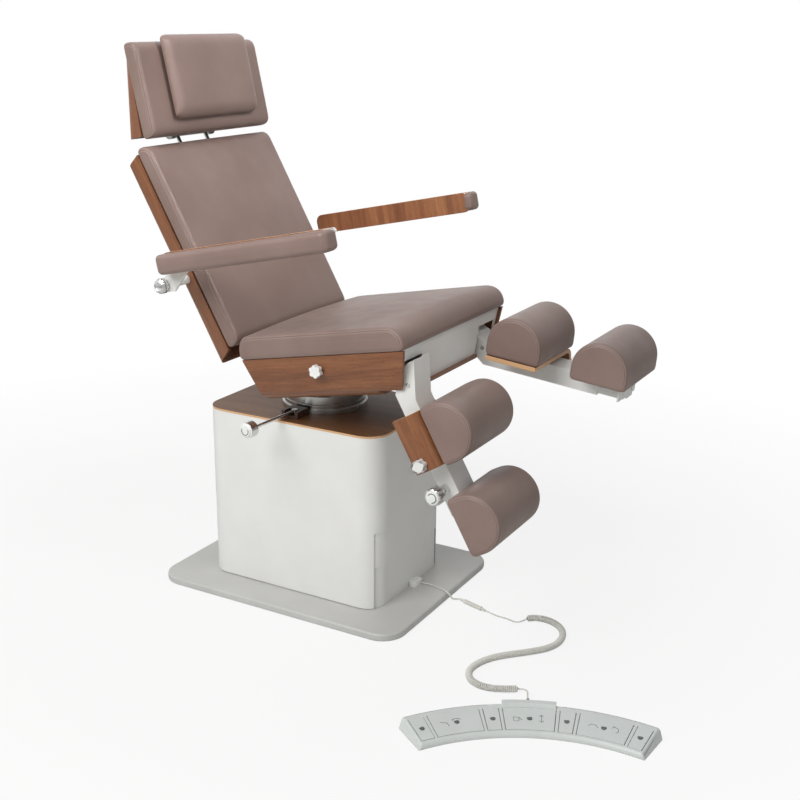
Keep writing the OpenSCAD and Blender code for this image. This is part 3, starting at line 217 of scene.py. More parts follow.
# Walnut veneer under satin lacquer: long dark streaks and short pores along the grain, a broad
# lighter figure across it, and a soft reflection.
walnut = {"tones": [(0.28, "#5c3520"), (0.5, "#83502f"), (0.72, "#a06a41")], "streak": 5.0, "figure": 38,
          "pore": 0.9, "roughness": 0.36, "coat": 0.16}
boardWood = dict(walnut, tones=[(0.28, "#6b4029"), (0.5, "#966040"), (0.72, "#b47c52")], streak=7.0)
darkWalnut = {"tones": [(0.25, "#54371f"), (0.5, "#6f4b2e"), (0.78, "#896343")], "streak": 6.0, "figure": 42,
              "pore": 1.0, "roughness": 0.42, "coat": 0.0, "shine": 0.3}
grainStretch = {"y": (1, 18, 1), "z": (1, 1, 18)}      # streaks are 18 times as long as they are wide
poreColour = "#3a2114"


def makeVeneer(name, wood, grain, lean=0):
    material, tree, shader = newMaterial(name, {"Coat Weight": wood["coat"], "Coat Roughness": 0.2,
                                                "Specular IOR Level": wood.get("shine", 0.5),
                                                "Roughness": wood["roughness"]})
    place = localVector(tree, lean, grainStretch[grain])
    figure = addNode(tree, "TexNoise", {"Scale": perMetre(wood["figure"]), "Detail": 4.0, "Distortion": 0.6},
                     {"Vector": place})
    streak = addNode(tree, "TexNoise", {"Scale": perMetre(wood["streak"]), "Detail": 6.0, "Roughness": 0.6},
                     {"Vector": place})
    pores = addNode(tree, "TexNoise", {"Scale": perMetre(wood["pore"]), "Detail": 2.0}, {"Vector": place})
    grained = mathOf(tree, "ADD", mathOf(tree, "MULTIPLY", figure.outputs["Fac"], 0.55),
                     mathOf(tree, "MULTIPLY", streak.outputs["Fac"], 0.45))
    tone = rampOf(tree, grained, wood["tones"])
    poreMask = fall(tree, pores.outputs["Fac"], 0.36, 0.44)
    tone = blendColour(tree, mathOf(tree, "MULTIPLY", poreMask, 0.35), tone, hexColour(poreColour))
    tree.links.new(tone, shader.inputs["Base Color"])
    giveBump(tree, shader, mathOf(tree, "SUBTRACT", grained, mathOf(tree, "MULTIPLY", poreMask, 0.5)), 0.12, 0.2)
    return material


# Cut edge of birch plywood under lacquer: pale layers 1.4 mm thick, every second one a shade darker
plyEdge = {"pale": "#e2b88c", "deep": "#c59364", "fleck": "#e3bd92", "pair": 2.8, "roughness": 0.42, "coat": 0.15}
bandPeriod = 0.314      # a band texture of scale 1 repeats after this length


def makePlyEdge(name, across, lean=0):
    material, tree, shader = newMaterial(name, {"Roughness": plyEdge["roughness"], "Coat Weight": plyEdge["coat"]})
    place = localVector(tree, lean)
    layers = addNode(tree, "TexWave", {"wave_type": "BANDS", "bands_direction": across, "Distortion": 0.4,
                                       "Scale": perMetre(plyEdge["pair"]) * bandPeriod, "Detail": 2.0},
                     {"Vector": place})
    flecks = addNode(tree, "TexNoise", {"Scale": perMetre(4), "Detail": 5.0}, {"Vector": place})
    tone = rampOf(tree, layers.outputs["Fac"], [(0.3, plyEdge["deep"]), (0.7, plyEdge["pale"])])
    tone = blendColour(tree, fall(tree, flecks.outputs["Fac"], 0.35, 0.75, 0, 0.35), tone,
                       hexColour(plyEdge["fleck"]))
    tree.links.new(tone, shader.inputs["Base Color"])
    giveBump(tree, shader, flecks.outputs["Fac"], 0.1, 0.2)
    return material


# Powder coat on sheet steel: an even satin white with a faint orange peel, dusty where it is handled
paint = {"peel": 3.0, "dust": 120, "roughness": 0.33}


def makePaint(name, colour, soiled):
    material, tree, shader = newMaterial(name, {"Specular IOR Level": 0.5})
    place = localVector(tree)
    peel = addNode(tree, "TexNoise", {"Scale": perMetre(paint["peel"]), "Detail": 2.0}, {"Vector": place})
    dust = addNode(tree, "TexNoise", {"Scale": perMetre(paint["dust"]), "Detail": 5.0}, {"Vector": place})
    tone = blendColour(tree, fall(tree, dust.outputs["Fac"], 0.35, 0.75, 0, 0.5), hexColour(colour),
                       hexColour(soiled))
    tree.links.new(tone, shader.inputs["Base Color"])
    tree.links.new(fall(tree, dust.outputs["Fac"], 0.3, 0.7, paint["roughness"] - 0.04, paint["roughness"] + 0.08),
                   shader.inputs["Roughness"])
    giveBump(tree, shader, peel.outputs["Fac"], 0.06, 0.15)
    return material


# Turned and ground steel: grey, with rings from the lathe, or with lines where it was drawn, that
# spread each highlight across them
steel = {"ring": 1.2, "cloud": 60}


def makeSteel(name, colour, roughness, turned=True):
    material, tree, shader = newMaterial(name, {"Metallic": 1.0, "Base Color": hexColour(colour)})
    place = localVector(tree)
    split = addNode(tree, "SeparateXYZ", None, {"Vector": place})
    radius = mathOf(tree, "SQRT", mathOf(tree, "ADD", mathOf(tree, "POWER", split.outputs["X"], 2.0),
                                         mathOf(tree, "POWER", split.outputs["Y"], 2.0)))
    ringed = addNode(tree, "TexNoise", {"noise_dimensions": "1D", "Scale": perMetre(steel["ring"]), "Detail": 3.0},
                     {"W": radius if turned else split.outputs["X"]})
    cloud = addNode(tree, "TexNoise", {"Scale": perMetre(steel["cloud"]), "Detail": 3.0}, {"Vector": place})
    rough = mathOf(tree, "ADD", fall(tree, ringed.outputs["Fac"], 0.3, 0.7, roughness - 0.05, roughness + 0.08),
                   fall(tree, cloud.outputs["Fac"], 0.3, 0.7, -0.03, 0.05))
    tree.links.new(rough, shader.inputs["Roughness"])
    giveBump(tree, shader, ringed.outputs["Fac"], 0.05, 0.1)
    return material


# Moulded plastic: ABS or PVC with a fine spark-eroded texture, so its highlight is broad
def makePlastic(name, colour, shade, roughness, grain=0.8, bump=0.05):
    material, tree, shader = newMaterial(name, {"IOR": 1.53})
    place = localVector(tree)
    erosion = addNode(tree, "TexNoise", {"Scale": perMetre(grain), "Detail": 2.0}, {"Vector": place})
    cloud = addNode(tree, "TexNoise", {"Scale": perMetre(70), "Detail": 3.0}, {"Vector": place})
    tone = blendColour(tree, fall(tree, cloud.outputs["Fac"], 0.3, 0.75, 0, 0.5), hexColour(colour), hexColour(shade))
    tree.links.new(tone, shader.inputs["Base Color"])
    tree.links.new(fall(tree, erosion.outputs["Fac"], 0.3, 0.7, roughness - 0.04, roughness + 0.05),
                   shader.inputs["Roughness"])
    giveBump(tree, shader, erosion.outputs["Fac"], bump, 0.12)
    return material


materials = {
    "leather": makeLeatherette(),
    "seatWalnut": makeVeneer("walnutVeneerSeat", walnut, "y", leans["seat"]),
    "backWalnut": makeVeneer("walnutVeneerBack", walnut, "z", leans["back"]),
    "headWalnut": makeVeneer("walnutVeneerHead", walnut, "z", leans["head"]),
    "boardWalnut": makeVeneer("walnutVeneerBoard", boardWood, "z", leans["board"]),
    "leftTrayWalnut": makeVeneer("walnutVeneerLeftTray", walnut, "y", leans["left"]),
    "rightTrayWalnut": makeVeneer("walnutVeneerRightTray", walnut, "y", leans["right"]),
    "topWalnut": makeVeneer("darkWalnutTop", darkWalnut, "y"),
    "boardEdge": makePlyEdge("birchPlyBoardEdge", "X"),
    "leftTrayEdge": makePlyEdge("birchPlyLeftTrayEdge", "Z", leans["left"]),
    "rightTrayEdge": makePlyEdge("birchPlyRightTrayEdge", "Z", leans["right"]),
    "topEdge": makePlyEdge("birchPlyTopEdge", "Z"),
    "paint": makePaint("whitePowderCoat", "#e9e9e6", "#dfdfdb"),
    "platePaint": makePaint("greyWhitePowderCoat", "#c4c4c1", "#b9b9b5"),
    "steel": makeSteel("turnedSteel", "#b9b9b6", 0.2),
    "brightSteel": makeSteel("polishedSteel", "#cfcfcd", 0.16, False),
    "chrome": makeSteel("satinChrome", "#d9d9d9", 0.2, False),
    "brownPaint": makePaint("brownPowderCoat", "#4a3226", "#3c281e"),
    "whitePlastic": makePlastic("whiteAbs", "#eeefec", "#e4e5e1", 0.36),
    "controlPlastic": makePlastic("offWhiteAbs", "#d2d6d4", "#cacfcc", 0.4),
    "darkPrint": makePlastic("darkGreyRubber", "#5f6666", "#565c5c", 0.5),
    "reliefRubber": makePlastic("greyPvcRelief", "#a3a4a0", "#979894", 0.5),
    "cord": makePlastic("cordPvc", "#dddcd5", "#d2d1c9", 0.42, 1.5),
    "rubber": makePlastic("blackRubber", "#1c1c1c", "#232323", 0.6),
}
print("materials made")


# Small tools for pieces
def finishMesh(bm, name, space, finishes, body, replaced=(), smooth=True, flipped=False):
    bmesh.ops.transform(bm, matrix=space, verts=bm.verts)
    if flipped:
        bmesh.ops.reverse_faces(bm, faces=bm.faces)
    mesh = bpy.data.meshes.new(name)
    bm.to_mesh(mesh)
    bm.free()
    for finish in finishes:
        mesh.materials.append(materials[finish])
    if smooth:
        mesh.polygons.foreach_set("use_smooth", [True] * len(mesh.polygons))
    piece = bpy.data.objects.new(name, mesh)
    scene.collection.objects.link(piece)
    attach(piece, body)
    if replaced:
        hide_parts(*replaced)
    return piece


sharpFrom = math.radians(32)      # edges that turn by more than this are corners


def markSharp(bm):
    for edge in bm.edges:
        if len(edge.link_faces) == 2 and edge.calc_face_angle(0) > sharpFrom:
            edge.smooth = False


def addBevel(piece, width, segments=2):
    bevel = piece.modifiers.new("softEdges", "BEVEL")
    bevel.width = width * mm
    bevel.segments = segments
    bevel.limit_method = "ANGLE"
    bevel.angle_limit = sharpFrom
    bevel.use_clamp_overlap = False
    bevel.harden_normals = True
    return bevel


def addSubdivision(piece):
    subdivision = piece.modifiers.new("smoothSurface", "SUBSURF")
    subdivision.levels = 1
    subdivision.render_levels = 1


# A CAD node's shape, merged and with soft edges; pick gives each face its finish
closeBy, flatBelow = 0.004 * mm, math.radians(0.4)


def dressNode(node, body, finishes, bevel=0.8, pick=None, space=worldSpace):
    bm = bmesh.new()
    bm.from_mesh(nodes[node].data)
    bmesh.ops.remove_doubles(bm, verts=bm.verts, dist=closeBy)
    bmesh.ops.dissolve_limit(bm, angle_limit=flatBelow, verts=bm.verts, edges=bm.edges)
    bmesh.ops.dissolve_degenerate(bm, dist=closeBy, edges=bm.edges)
    markSharp(bm)
    if pick:
        back = space.inverted()
        turn = back.to_3x3().normalized()
        for face in bm.faces:
            face.material_index = pick(back @ face.calc_center_median(), (turn @ face.normal).normalized())
    piece = finishMesh(bm, node + "_finished", Matrix.Identity(4), finishes, body, [node])
    if bevel:
        addBevel(piece, bevel)
    return piece


# Cords: routes repeated from the part's source, in millimetres
cordSizes = {"lead": 4.4, "curl": 3.8, "curlOuter": 17.6, "turns": 142, "perTurn": 14, "endTurns": 1.5}
leadRoute = [(14, -299, 26), (14.5, -307, 26), (17, -320, 25.6), (18, -334, 24.8), (16, -350, 24.4),
             (11, -367, 24.3), (5, -381, 24.3), (0, -390, 24.5), (-2.5, -396, 24.2), (-3.6, -401, 21.6),
             (-3.2, -405, 16.5), (-1.5, -408, 11.4), (2.2, -411, 7.8), (7, -414, 6.4), (11, -418, 6.1),
             (12.9, -423, 6.1), (12, -429, 6.1)]
curlRoute = [(-13, -515, 6.1), (-14.5, -520.2, 6.1), (-16.7, -529, 5.7), (-18, -540, 4.3), (-18.5, -553, 3.1),
             (-18.8, -567, 2.8), (-20, -582, 2.8), (-23.5, -597, 3.1), (-27.5, -609, 4.4), (-27.5, -620, 6.8),
             (-19, -629, 9), (-6, -634, 9.6), (8, -646, 9.6), (16, -670, 9.6), (11, -702, 9.6), (-9, -732, 9.6),
             (-42, -751, 9.6), (-82, -756, 9.6), (-120, -745, 9.6), (-152, -722, 9.6), (-181, -695, 9.6),
             (-211, -666, 9.6), (-244, -641, 9.6), (-283, -625, 9.6), (-323, -623, 9.6), (-356, -640, 9.6),
             (-372, -671, 9.6), (-370, -704, 9.6), (-356, -735, 9.6), (-341, -761, 9.6), (-337.9, -766.9, 9.6),
             (-336.3, -774, 9.6), (-338.4, -780.9, 9.6), (-343.7, -785.9, 9.6), (-352.4, -789.6, 9.6),
             (-362, -794.2, 9.6), (-372.2, -799.2, 9.6), (-381.2, -803.5, 9.6)]
curlIn, curlOut = 11, 29      # the coil lies between these two points of its route
leadEnd = [(9, -440, 6.1), (4, -457, 6.1), (0, -471, 6.1)]      # inside the coupler


def smoothPath(route, fine, first=0, last=None):
    last = len(route) - 1 if last is None else last
    points = [Vector(p) for p in route]
    path = []
    for i in range(first, last):
        a, b = points[max(i - 1, 0)], points[i]
        c, d = points[min(i + 1, len(points) - 1)], points[min(i + 2, len(points) - 1)]
        for k in range(fine):
            t = k / fine
            path.append(0.5 * ((2 * b) + (c - a) * t + (2 * a - 5 * b + 4 * c - d) * t * t
                               + (3 * b - a - 3 * c + d) * t ** 3))
    path.append(points[last])
    return path


def pathLength(path):
    return sum((b - a).length for a, b in zip(path, path[1:]))


def curledPath():
    axis = smoothPath(curlRoute, 12, curlIn, curlOut)
    runs = [0]
    for a, b in zip(axis, axis[1:]):
        runs.append(runs[-1] + (b - a).length)

    def axisAt(run):
        run = min(max(run, 0), runs[-1])
        i = max(k for k in range(len(axis) - 1) if runs[k] <= run or k == 0)
        return axis[i].lerp(axis[i + 1], (run - runs[i]) / (runs[i + 1] - runs[i]))

    radius = (cordSizes["curlOuter"] - cordSizes["curl"]) / 2
    steps = cordSizes["turns"] * cordSizes["perTurn"]
    helix = []
    for i in range(steps + 1):
        share = i / steps
        run = share * runs[-1]
        tangent = (axisAt(run + 5) - axisAt(run - 5)).normalized()
        side = tangent.cross(Vector((0, 0, 1))).normalized()
        other = tangent.cross(side)
        turn = 2 * math.pi * i / cordSizes["perTurn"]
        edge = min(share, 1 - share) * cordSizes["turns"] / cordSizes["endTurns"]
        swell = 1 if edge >= 1 else math.sin(math.pi / 2 * edge)
        helix.append(axisAt(run) + radius * swell * (math.cos(turn) * side + math.sin(turn) * other))
    return smoothPath(curlRoute, 3, 0, curlIn)[:-1] + helix + smoothPath(curlRoute, 3, curlOut)[1:]


def makeCord(name, path, diameter, replaced):
    curve = bpy.data.curves.new(name, "CURVE")
    curve.dimensions = "3D"
    curve.bevel_depth = diameter * mm / 2
    curve.bevel_resolution = 2
    curve.use_fill_caps = True
    spline = curve.splines.new("POLY")
    spline.points.add(len(path) - 1)
    for point, place in zip(spline.points, path):
        point.co = (*(place * mm), 1)
    spline.use_smooth = True
    curve.materials.append(materials["cord"])
    piece = bpy.data.objects.new(name, curve)
    scene.collection.objects.link(piece)
    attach(piece, "base")
    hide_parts(replaced)
    return piece


leadPath = smoothPath(leadRoute, 4) + [Vector(point) for point in leadEnd]
leadCord = makeCord("lead_cable", leadPath, cordSizes["lead"], "lead_cord")
coupler = dressNode("cord_coupler", "base", ["cord"], 0.6)
pathLength(leadPath) * mm
curlPath = curledPath()
curlCord = makeCord("curled_cable", curlPath, cordSizes["curl"], "curly_cord")
pathLength(curlPath) * mm
print("cords laid:", round(pathLength(leadPath)), "mm and", round(pathLength(curlPath)), "mm")


# Upholstered pads. A pad is a side outline, in two chains of as many points, carried across the
# chair; each end is a flat panel, joined to the wrap by a seam on the rim.
def evenly(path, count):
    points = [Vector(p) for p in path]
    runs = [0]
    for a, b in zip(points, points[1:]):
        runs.append(runs[-1] + (b - a).length)
    spread = []
    for i in range(count):
        run = runs[-1] * i / (count - 1)
        k = max(j for j in range(len(points) - 1) if runs[j] <= run + 1e-9)
        spread.append(points[k].lerp(points[k + 1], (run - runs[k]) / max(runs[k + 1] - runs[k], 1e-9)))
    return spread


def arc(centre, across, up, start, end, steps=12):
    turns = [math.radians(start + (end - start) * i / steps) for i in range(steps + 1)]
    return [(centre[0] + across * math.cos(t), centre[1] + up * math.sin(t)) for t in turns]


def slabOutline(pad):
    y0, y1, h = pad["front"], pad["rear"], pad["height"]
    (run0, drop0, lift0), (run1, drop1, lift1) = pad["ends"]
    low0, low1 = (y0, (lift0 + h - drop0) / 2), (y1, (lift1 + h - drop1) / 2)
    top = [low0] + arc((y0 + run0, h - drop0), run0, drop0, 180, 90) \
        + arc((y1 - run1, h - drop1), run1, drop1, 90, 0) + [low1]
    under0, under1 = max(run0 * 0.16, 3), max(run1 * 0.16, 3)
    bottom = [low0] + arc((y0 + under0, max(lift0, 3)), under0, max(lift0, 3), 180, 270) \
        + arc((y1 - under1, max(lift1, 3)), under1, max(lift1, 3), 270, 360) + [low1]
    count = max(12, round(sum((Vector(b) - Vector(a)).length for a, b in zip(top, top[1:])) / pad["spacing"]))
    return evenly(top, count), evenly(bottom, count)


# As a slab, with a front end that wraps the end of the board behind it and a lip on the board's far face
def hookOutline(pad):
    y0, y1, h = pad["front"], pad["rear"], pad["height"]
    (run0, drop0, lift0), (run1, drop1, lift1) = pad["ends"]
    lip, deep = pad["hook"]
    top = [(y0, 6)] + arc((y0 + run0, h - drop0), run0, drop0, 180, 90) \
        + arc((y1 - run1, h - drop1), run1, drop1, 90, 0) + [(y1, 10)]
    bottom = [(y0, 6)] + arc((y0 + 5, 3 - deep), 5, 5, 180, 270) \
        + [(y0 + lip + 14, -deep - 3.6), (y0 + lip + 16, -deep - 0.8), (y0 + lip, -deep - 0.8), (y0 + lip, 0)] \
        + arc((y1 - 4, 3), 4, 3, 270, 360) + [(y1, 10)]
    count = round((y1 - y0 + h) / pad["spacing"])
    return evenly(top, count), evenly(bottom, count)


# Half a cylinder on a low straight base
def bolsterOutline(pad):
    half, corner = pad["length"] / 2, pad["corner"]
    side = pad["height"] - half
    top = [(-half, side * 0.5)] + arc((0, side), half, half, 180, 0, 40) + [(half, side * 0.5)]
    bottom = [(-half, side * 0.5)] + arc((-half + corner, corner), corner, corner, 180, 270) \
        + arc((half - corner, corner), corner, corner, 270, 360) + [(half, side * 0.5)]
    count = round((math.pi * half + side) / pad["spacing"])
    return evenly(top, count), evenly(bottom, count)


# Stations on the path from an end panel's middle, over the rim and on to the wrap, each as its place
# across the pad, its inset towards the core and its distance from the seam. The seam lies 18 degrees
# round the rim and is pinched in.
def rimStations(pad):
    rim, seam, half = pad["rim"], pad["rim"] * math.radians(18), (pad["across"][1] - pad["across"][0]) / 2
    panel = [p for p in (-48, -34, -22, -13, -6, -2.2) if rim - p < pad["span"] * 0.82]
    close = [seam - 0.9, seam, seam + 0.9, seam + 2.6]
    over = [rim * math.radians(a) for a in (50, 70, 90)]
    flat = [rim * math.pi / 2 + d for d in (5, 14)]
    stations = []
    wide = pad.get("wide", 1)
    for p in panel + close + over + flat:
        if p <= 0:
            x, inset, out = 0, rim - p, (1, 0)
        elif p < rim * math.pi / 2:
            turn = p / rim
            x, inset = rim * wide * (1 - math.cos(turn)), rim * (1 - math.sin(turn))
            out = (math.cos(turn), math.sin(turn))
        else:
            x, inset, out = rim * wide + p - rim * math.pi / 2, 0, (0, 1)
        if pad.get("seamed", True):
            pinch = {0: 1.3, 0.9: 0.5}.get(round(abs(p - seam), 2), 0)
            x, inset = x + pinch * out[0], inset + pinch * out[1]
        stations.append((x, inset, p - seam))
    count = max(2, round((half - stations[-1][0]) / pad["spacing"]))
    last = stations[-1]
    for i in range(1, count + 1):
        x = last[0] + (half - last[0]) * i / count
        stations.append((x, 0, last[2] + x - last[0]))
    low = [(pad["across"][0] + x, inset, gap) for x, inset, gap in stations]
    high = [(pad["across"][1] - x, inset, gap) for x, inset, gap in reversed(stations[:-1])]
    return low + high


farFromSeam = 60      # past the reach of every crease, welt and pucker


def padMesh(pad):
    top, bottom = pad["outline"](pad)
    ring = top + bottom[::-1]
    runs = [0]
    for a, b in zip(ring, ring[1:]):
        runs.append(runs[-1] + (b - a).length)
    n, chain = len(ring), len(top)
    start, end = Vector(pad["core"][0]), Vector(pad["core"][1])
    along = end - start
    cores = [start + along * min(max((p - start).dot(along) / max(along.length_squared, 1e-6), 0), 1) for p in ring]
    middle, half = sum(pad["across"]) / 2, (pad["across"][1] - pad["across"][0]) / 2
    bm = bmesh.new()
    fromSeam = bm.verts.layers.float.new("fromSeam")
    alongSeam = bm.verts.layers.float.new("alongSeam")

    def settle(verts, station):
        x, inset, gap = station
        for i, vert in enumerate(verts):
            spot = cores[i] + (ring[i] - cores[i]) * (1 - inset / pad["span"])
            upper = max(0, min(1, (spot.y - pad["height"] * 0.45) / (pad["height"] * 0.55)))
            reach = 1 - ((x - middle) / half) ** 2
            length = (spot.x - pad["front"]) / (pad["rear"] - pad["front"]) * 2 - 1
            spot.y += pad["crown"] * upper * reach * (1 - 0.7 * min(abs(length), 1) ** 4)
            taper = pad.get("drawIn", 0) * (1 - 4 * ((spot.y / pad["height"]) - 0.5) ** 2)
            vert.co = (x - taper * (middle - x) / half, spot.x, spot.y)
            sewn = pad.get("seamed", True) and i < chain
            vert[fromSeam] = gap if sewn else farFromSeam
            vert[alongSeam] = runs[i]

    verts = [bm.verts.new((0, 0, 0)) for _ in ring]
    edges = [bm.edges.new((verts[i], verts[(i + 1) % n])) for i in range(n)]
    stations = rimStations(pad)
    settle(verts, stations[0])
    firstEdges = list(edges)
    for station in stations[1:]:
        grown = bmesh.ops.extrude_edge_only(bm, edges=edges)["geom"]
        fresh = {v for v in grown if isinstance(v, bmesh.types.BMVert)}
        verts = [next(e.other_vert(v) for e in v.link_edges if e.other_vert(v) in fresh) for v in verts]
        edges = [bm.edges.get((verts[i], verts[(i + 1) % n])) for i in range(n)]
        settle(verts, station)
    for rim in (firstEdges, edges):
        bmesh.ops.bridge_loops(bm, edges=rim[:chain - 1] + rim[chain:n - 1])
    bmesh.ops.recalc_face_normals(bm, faces=bm.faces)
    return bm


def makePad(name, pad, space, body, replaced, flipped=False):
    piece = finishMesh(padMesh(pad), name, space, ["leather"], body, replaced, flipped=flipped)
    addSubdivision(piece)


seatPad = {"outline": slabOutline, "across": (-284, 284), "front": -490, "rear": 4, "height": 61, "crown": 11,
           "ends": [(46, 42, 12), (26, 48, 3)], "rim": 9, "span": 30.5, "core": [(-446, 30), (-28, 30)],
           "spacing": 12, "drawIn": 1.5}
backPad = {"outline": slabOutline, "across": (-265, 265), "front": 3, "rear": 568, "height": 44, "crown": 10,
           "ends": [(22, 24, 4), (30, 28, 5)], "rim": 9, "span": 22, "core": [(26, 22), (540, 22)],
           "spacing": 12, "drawIn": 1.5}
headPad = {"outline": slabOutline, "across": (-254, 254), "front": -9, "rear": 235, "height": 45, "crown": 4,
           "ends": [(20, 22, 4), (24, 26, 5)], "rim": 9, "span": 22, "core": [(14, 22), (210, 22)],
           "spacing": 11, "drawIn": 1.5}
pillowPad = {"outline": slabOutline, "across": (-174, 174), "front": 29, "rear": 245, "height": 30, "crown": 3,
             "ends": [(34, 22, 3), (34, 22, 3)], "rim": 13, "wide": 2.2, "span": 14, "core": [(44, 13), (230, 13)],
             "spacing": 8, "drawIn": 1.0, "seamed": False}
bolster = {"outline": bolsterOutline, "across": (0, 243), "front": -76, "rear": 76, "length": 152, "height": 112,
           "corner": 9, "crown": 0, "rim": 9, "span": 70, "core": [(-6, 42), (6, 42)], "spacing": 10}
armPad = {"outline": hookOutline, "across": (-26, 25), "front": -548, "rear": -26, "height": 37, "crown": 3,
          "ends": [(17, 16, 3), (15, 14, 3)], "hook": (10.5, 12), "rim": 11, "span": 18,
          "core": [(-528, 18), (-44, 18)], "spacing": 6, "seamed": False}

upright = Matrix.Rotation(math.radians(90), 4, "X")      # a pad that stands: its length goes up, its top forward
clear = 0.3      # each pad keeps this far off the board behind it
makePad("seat_cushion_sewn", seatPad, seatSpace @ Matrix.Translation((0, 0, clear)), "seat", ["seat_cushion"])
makePad("back_cushion_sewn", backPad, backSpace @ Matrix.Translation((0, -clear, 0)) @ upright, "back",
        ["back_cushion"])
makePad("headrest_cushion_sewn", headPad, headSpace @ Matrix.Translation((0, -clear, 0)) @ upright, "head",
        ["headrest_cushion"])
makePad("headrest_pillow_sewn", pillowPad, headSpace @ Matrix.Translation((0, -50.6, 0)) @ upright, "head",
        ["headrest_pillow"])
for side, mirror in sides.items():
    flipped = side == "right"
    armTurn = Matrix.Translation((362.3, 0, 54.5)) @ Matrix.Rotation(math.radians(90), 4, "Y")
    makePad("armrest_pad_wrapped_" + side, armPad, mirror @ armSpace @ armTurn, "armrest_" + side,
            ["armrest_pad_" + side], flipped=flipped)
    legPlace = mirror @ legSpace[side]
    makePad("calf_bolster_" + side, bolster, legPlace @ Matrix.Translation((47, -136, 24.9)),
            "calf_rest_" + side, ["calf_cushion_" + side], flipped=flipped)
    makePad("heel_bolster_" + side, bolster, legPlace @ Matrix.Translation((80, -360, 6.8)),
            "heel_rest_" + side, ["heel_cushion_" + side], flipped=flipped)
print("pads sewn")


# Casings, frames and wood: the CAD shapes with soft edges and their finishes. Cut edges of plywood
# and the steel in the headrest get the second finish.
tray = {"rim": -49, "inner": 48}
headSteel = {"inner": 5, "outer": 200, "top": 1252}


def trayPick(place, normal):
    atEnd = abs(normal.y) > 0.8
    atRim = normal.z < -0.9 and place.z < tray["rim"]
    atInner = abs(normal.x) > 0.9 and abs(place.x) < tray["inner"]
    return int(atEnd or atRim or atInner)


def headPick(place, normal):
    return int(headSteel["inner"] < abs(place.x) < headSteel["outer"] and place.z < headSteel["top"])


dressNode("base_plate", "base", ["platePaint"], 6.0)
dressNode("lower_cover", "base", ["paint"], 0.6)
dressNode("middle_cover", "cover_stage", ["paint"], 0.6)
dressNode("upper_cover", "lift", ["paint"], 0.6)
dressNode("top_panel", "lift", ["topWalnut", "topEdge"], 0.6,
          lambda place, normal: int(abs(normal.z) < 0.5))
dressNode("turntable_base", "lift", ["steel"], 0.8)
dressNode("turntable_plate", "turntable", ["steel"], 0.8)
dressNode("brake_clamp", "lift", ["brownPaint"], 1.0)
dressNode("cord_gland", "base", ["whitePlastic"], 0.8)
dressNode("seat_shell", "seat", ["seatWalnut"], 0.8)
dressNode("seat_front_plate", "seat", ["paint"], 0)
dressNode("seat_frame", "seat", ["paint"], 0.6)
dressNode("back_frame", "back", ["paint"], 0.4)
dressNode("back_shell", "back", ["backWalnut"], 0.8)
dressNode("headrest_shell", "head", ["headWalnut", "brightSteel"], 0.5, headPick)
dressNode("headrest_rods", "head_carrier", ["brightSteel"], 0.5)
for side, mirror in sides.items():
    legPlace = mirror @ legSpace[side]
    dressNode("armrest_bracket_" + side, "armrest_" + side, ["paint"], 1.0)
    dressNode("armrest_board_" + side, "armrest_" + side, ["boardWalnut", "boardEdge"], 0.8,
              lambda place, normal: int(abs(normal.x) < 0.5))
    dressNode("leg_tube_" + side, "leg_" + side, ["paint"], 0.8)
    dressNode("calf_tray_" + side, "calf_rest_" + side, [side + "TrayWalnut", side + "TrayEdge"], 0.8,
              trayPick, legPlace)
    dressNode("tray_clamp_" + side, "calf_rest_" + side, ["paint"], 0.5)
    dressNode("leg_slide_" + side, "heel_rest_" + side, ["paint"], 0.6)
print("casings and wood dressed")


# Turned pieces: half an outline in (radius, height), spun about its axis
def turnedMesh(outline, steps):
    bm = bmesh.new()
    verts = [bm.verts.new((radius, 0, height)) for radius, height in outline]
    edges = [bm.edges.new(pair) for pair in zip(verts, verts[1:])]
    bmesh.ops.spin(bm, geom=verts + edges, cent=(0, 0, 0), axis=(0, 0, 1), angle=2 * math.pi, steps=steps,
                   use_merge=True)
    bmesh.ops.remove_doubles(bm, verts=bm.verts, dist=0.01)
    bmesh.ops.recalc_face_normals(bm, faces=bm.faces)
    return bm


# Hollows for the fingers, all round a knob outside its inner radius
def flute(bm, knob):
    for vert in bm.verts:
        radius = math.hypot(vert.co.x, vert.co.y)
        if radius > knob["inner"]:
            turn = math.atan2(vert.co.y, vert.co.x)
            cut = 1 - knob["depth"] * max(0, math.cos(knob["flutes"] * turn)) ** 2 / radius
            vert.co.x *= cut
            vert.co.y *= cut


# Printed lines: flat strips that lie a little over a face, their points in (right, up) millimetres
printHeight = 0.35
ringMark = {"from": 60, "to": 300, "steps": 20}      # degrees, two thirds of a ring


def printLines(name, lines, width, space, body, flipped=False):
    bm = bmesh.new()
    for line in lines:
        points = [Vector((x, y, 0)) for x, y in line]
        ends = []
        for i, point in enumerate(points):
            along = (points[min(i + 1, len(points) - 1)] - points[max(i - 1, 0)]).normalized()
            across = Vector((-along.y, along.x, 0)) * width / 2
            ends.append((bm.verts.new(point + across), bm.verts.new(point - across)))
        strip = [bm.faces.new((a[0], a[1], b[1], b[0])) for a, b in zip(ends, ends[1:])]
        raised = bmesh.ops.extrude_face_region(bm, geom=strip)["geom"]
        bmesh.ops.translate(bm, verts=[v for v in raised if isinstance(v, bmesh.types.BMVert)],
                            vec=(0, 0, printHeight))
    bmesh.ops.recalc_face_normals(bm, faces=bm.faces)
    return finishMesh(bm, name, space, ["darkPrint"], body, smooth=False, flipped=flipped)


def ringLine(radius):
    return arc((0, 0), radius, radius, ringMark["from"], ringMark["to"], ringMark["steps"])


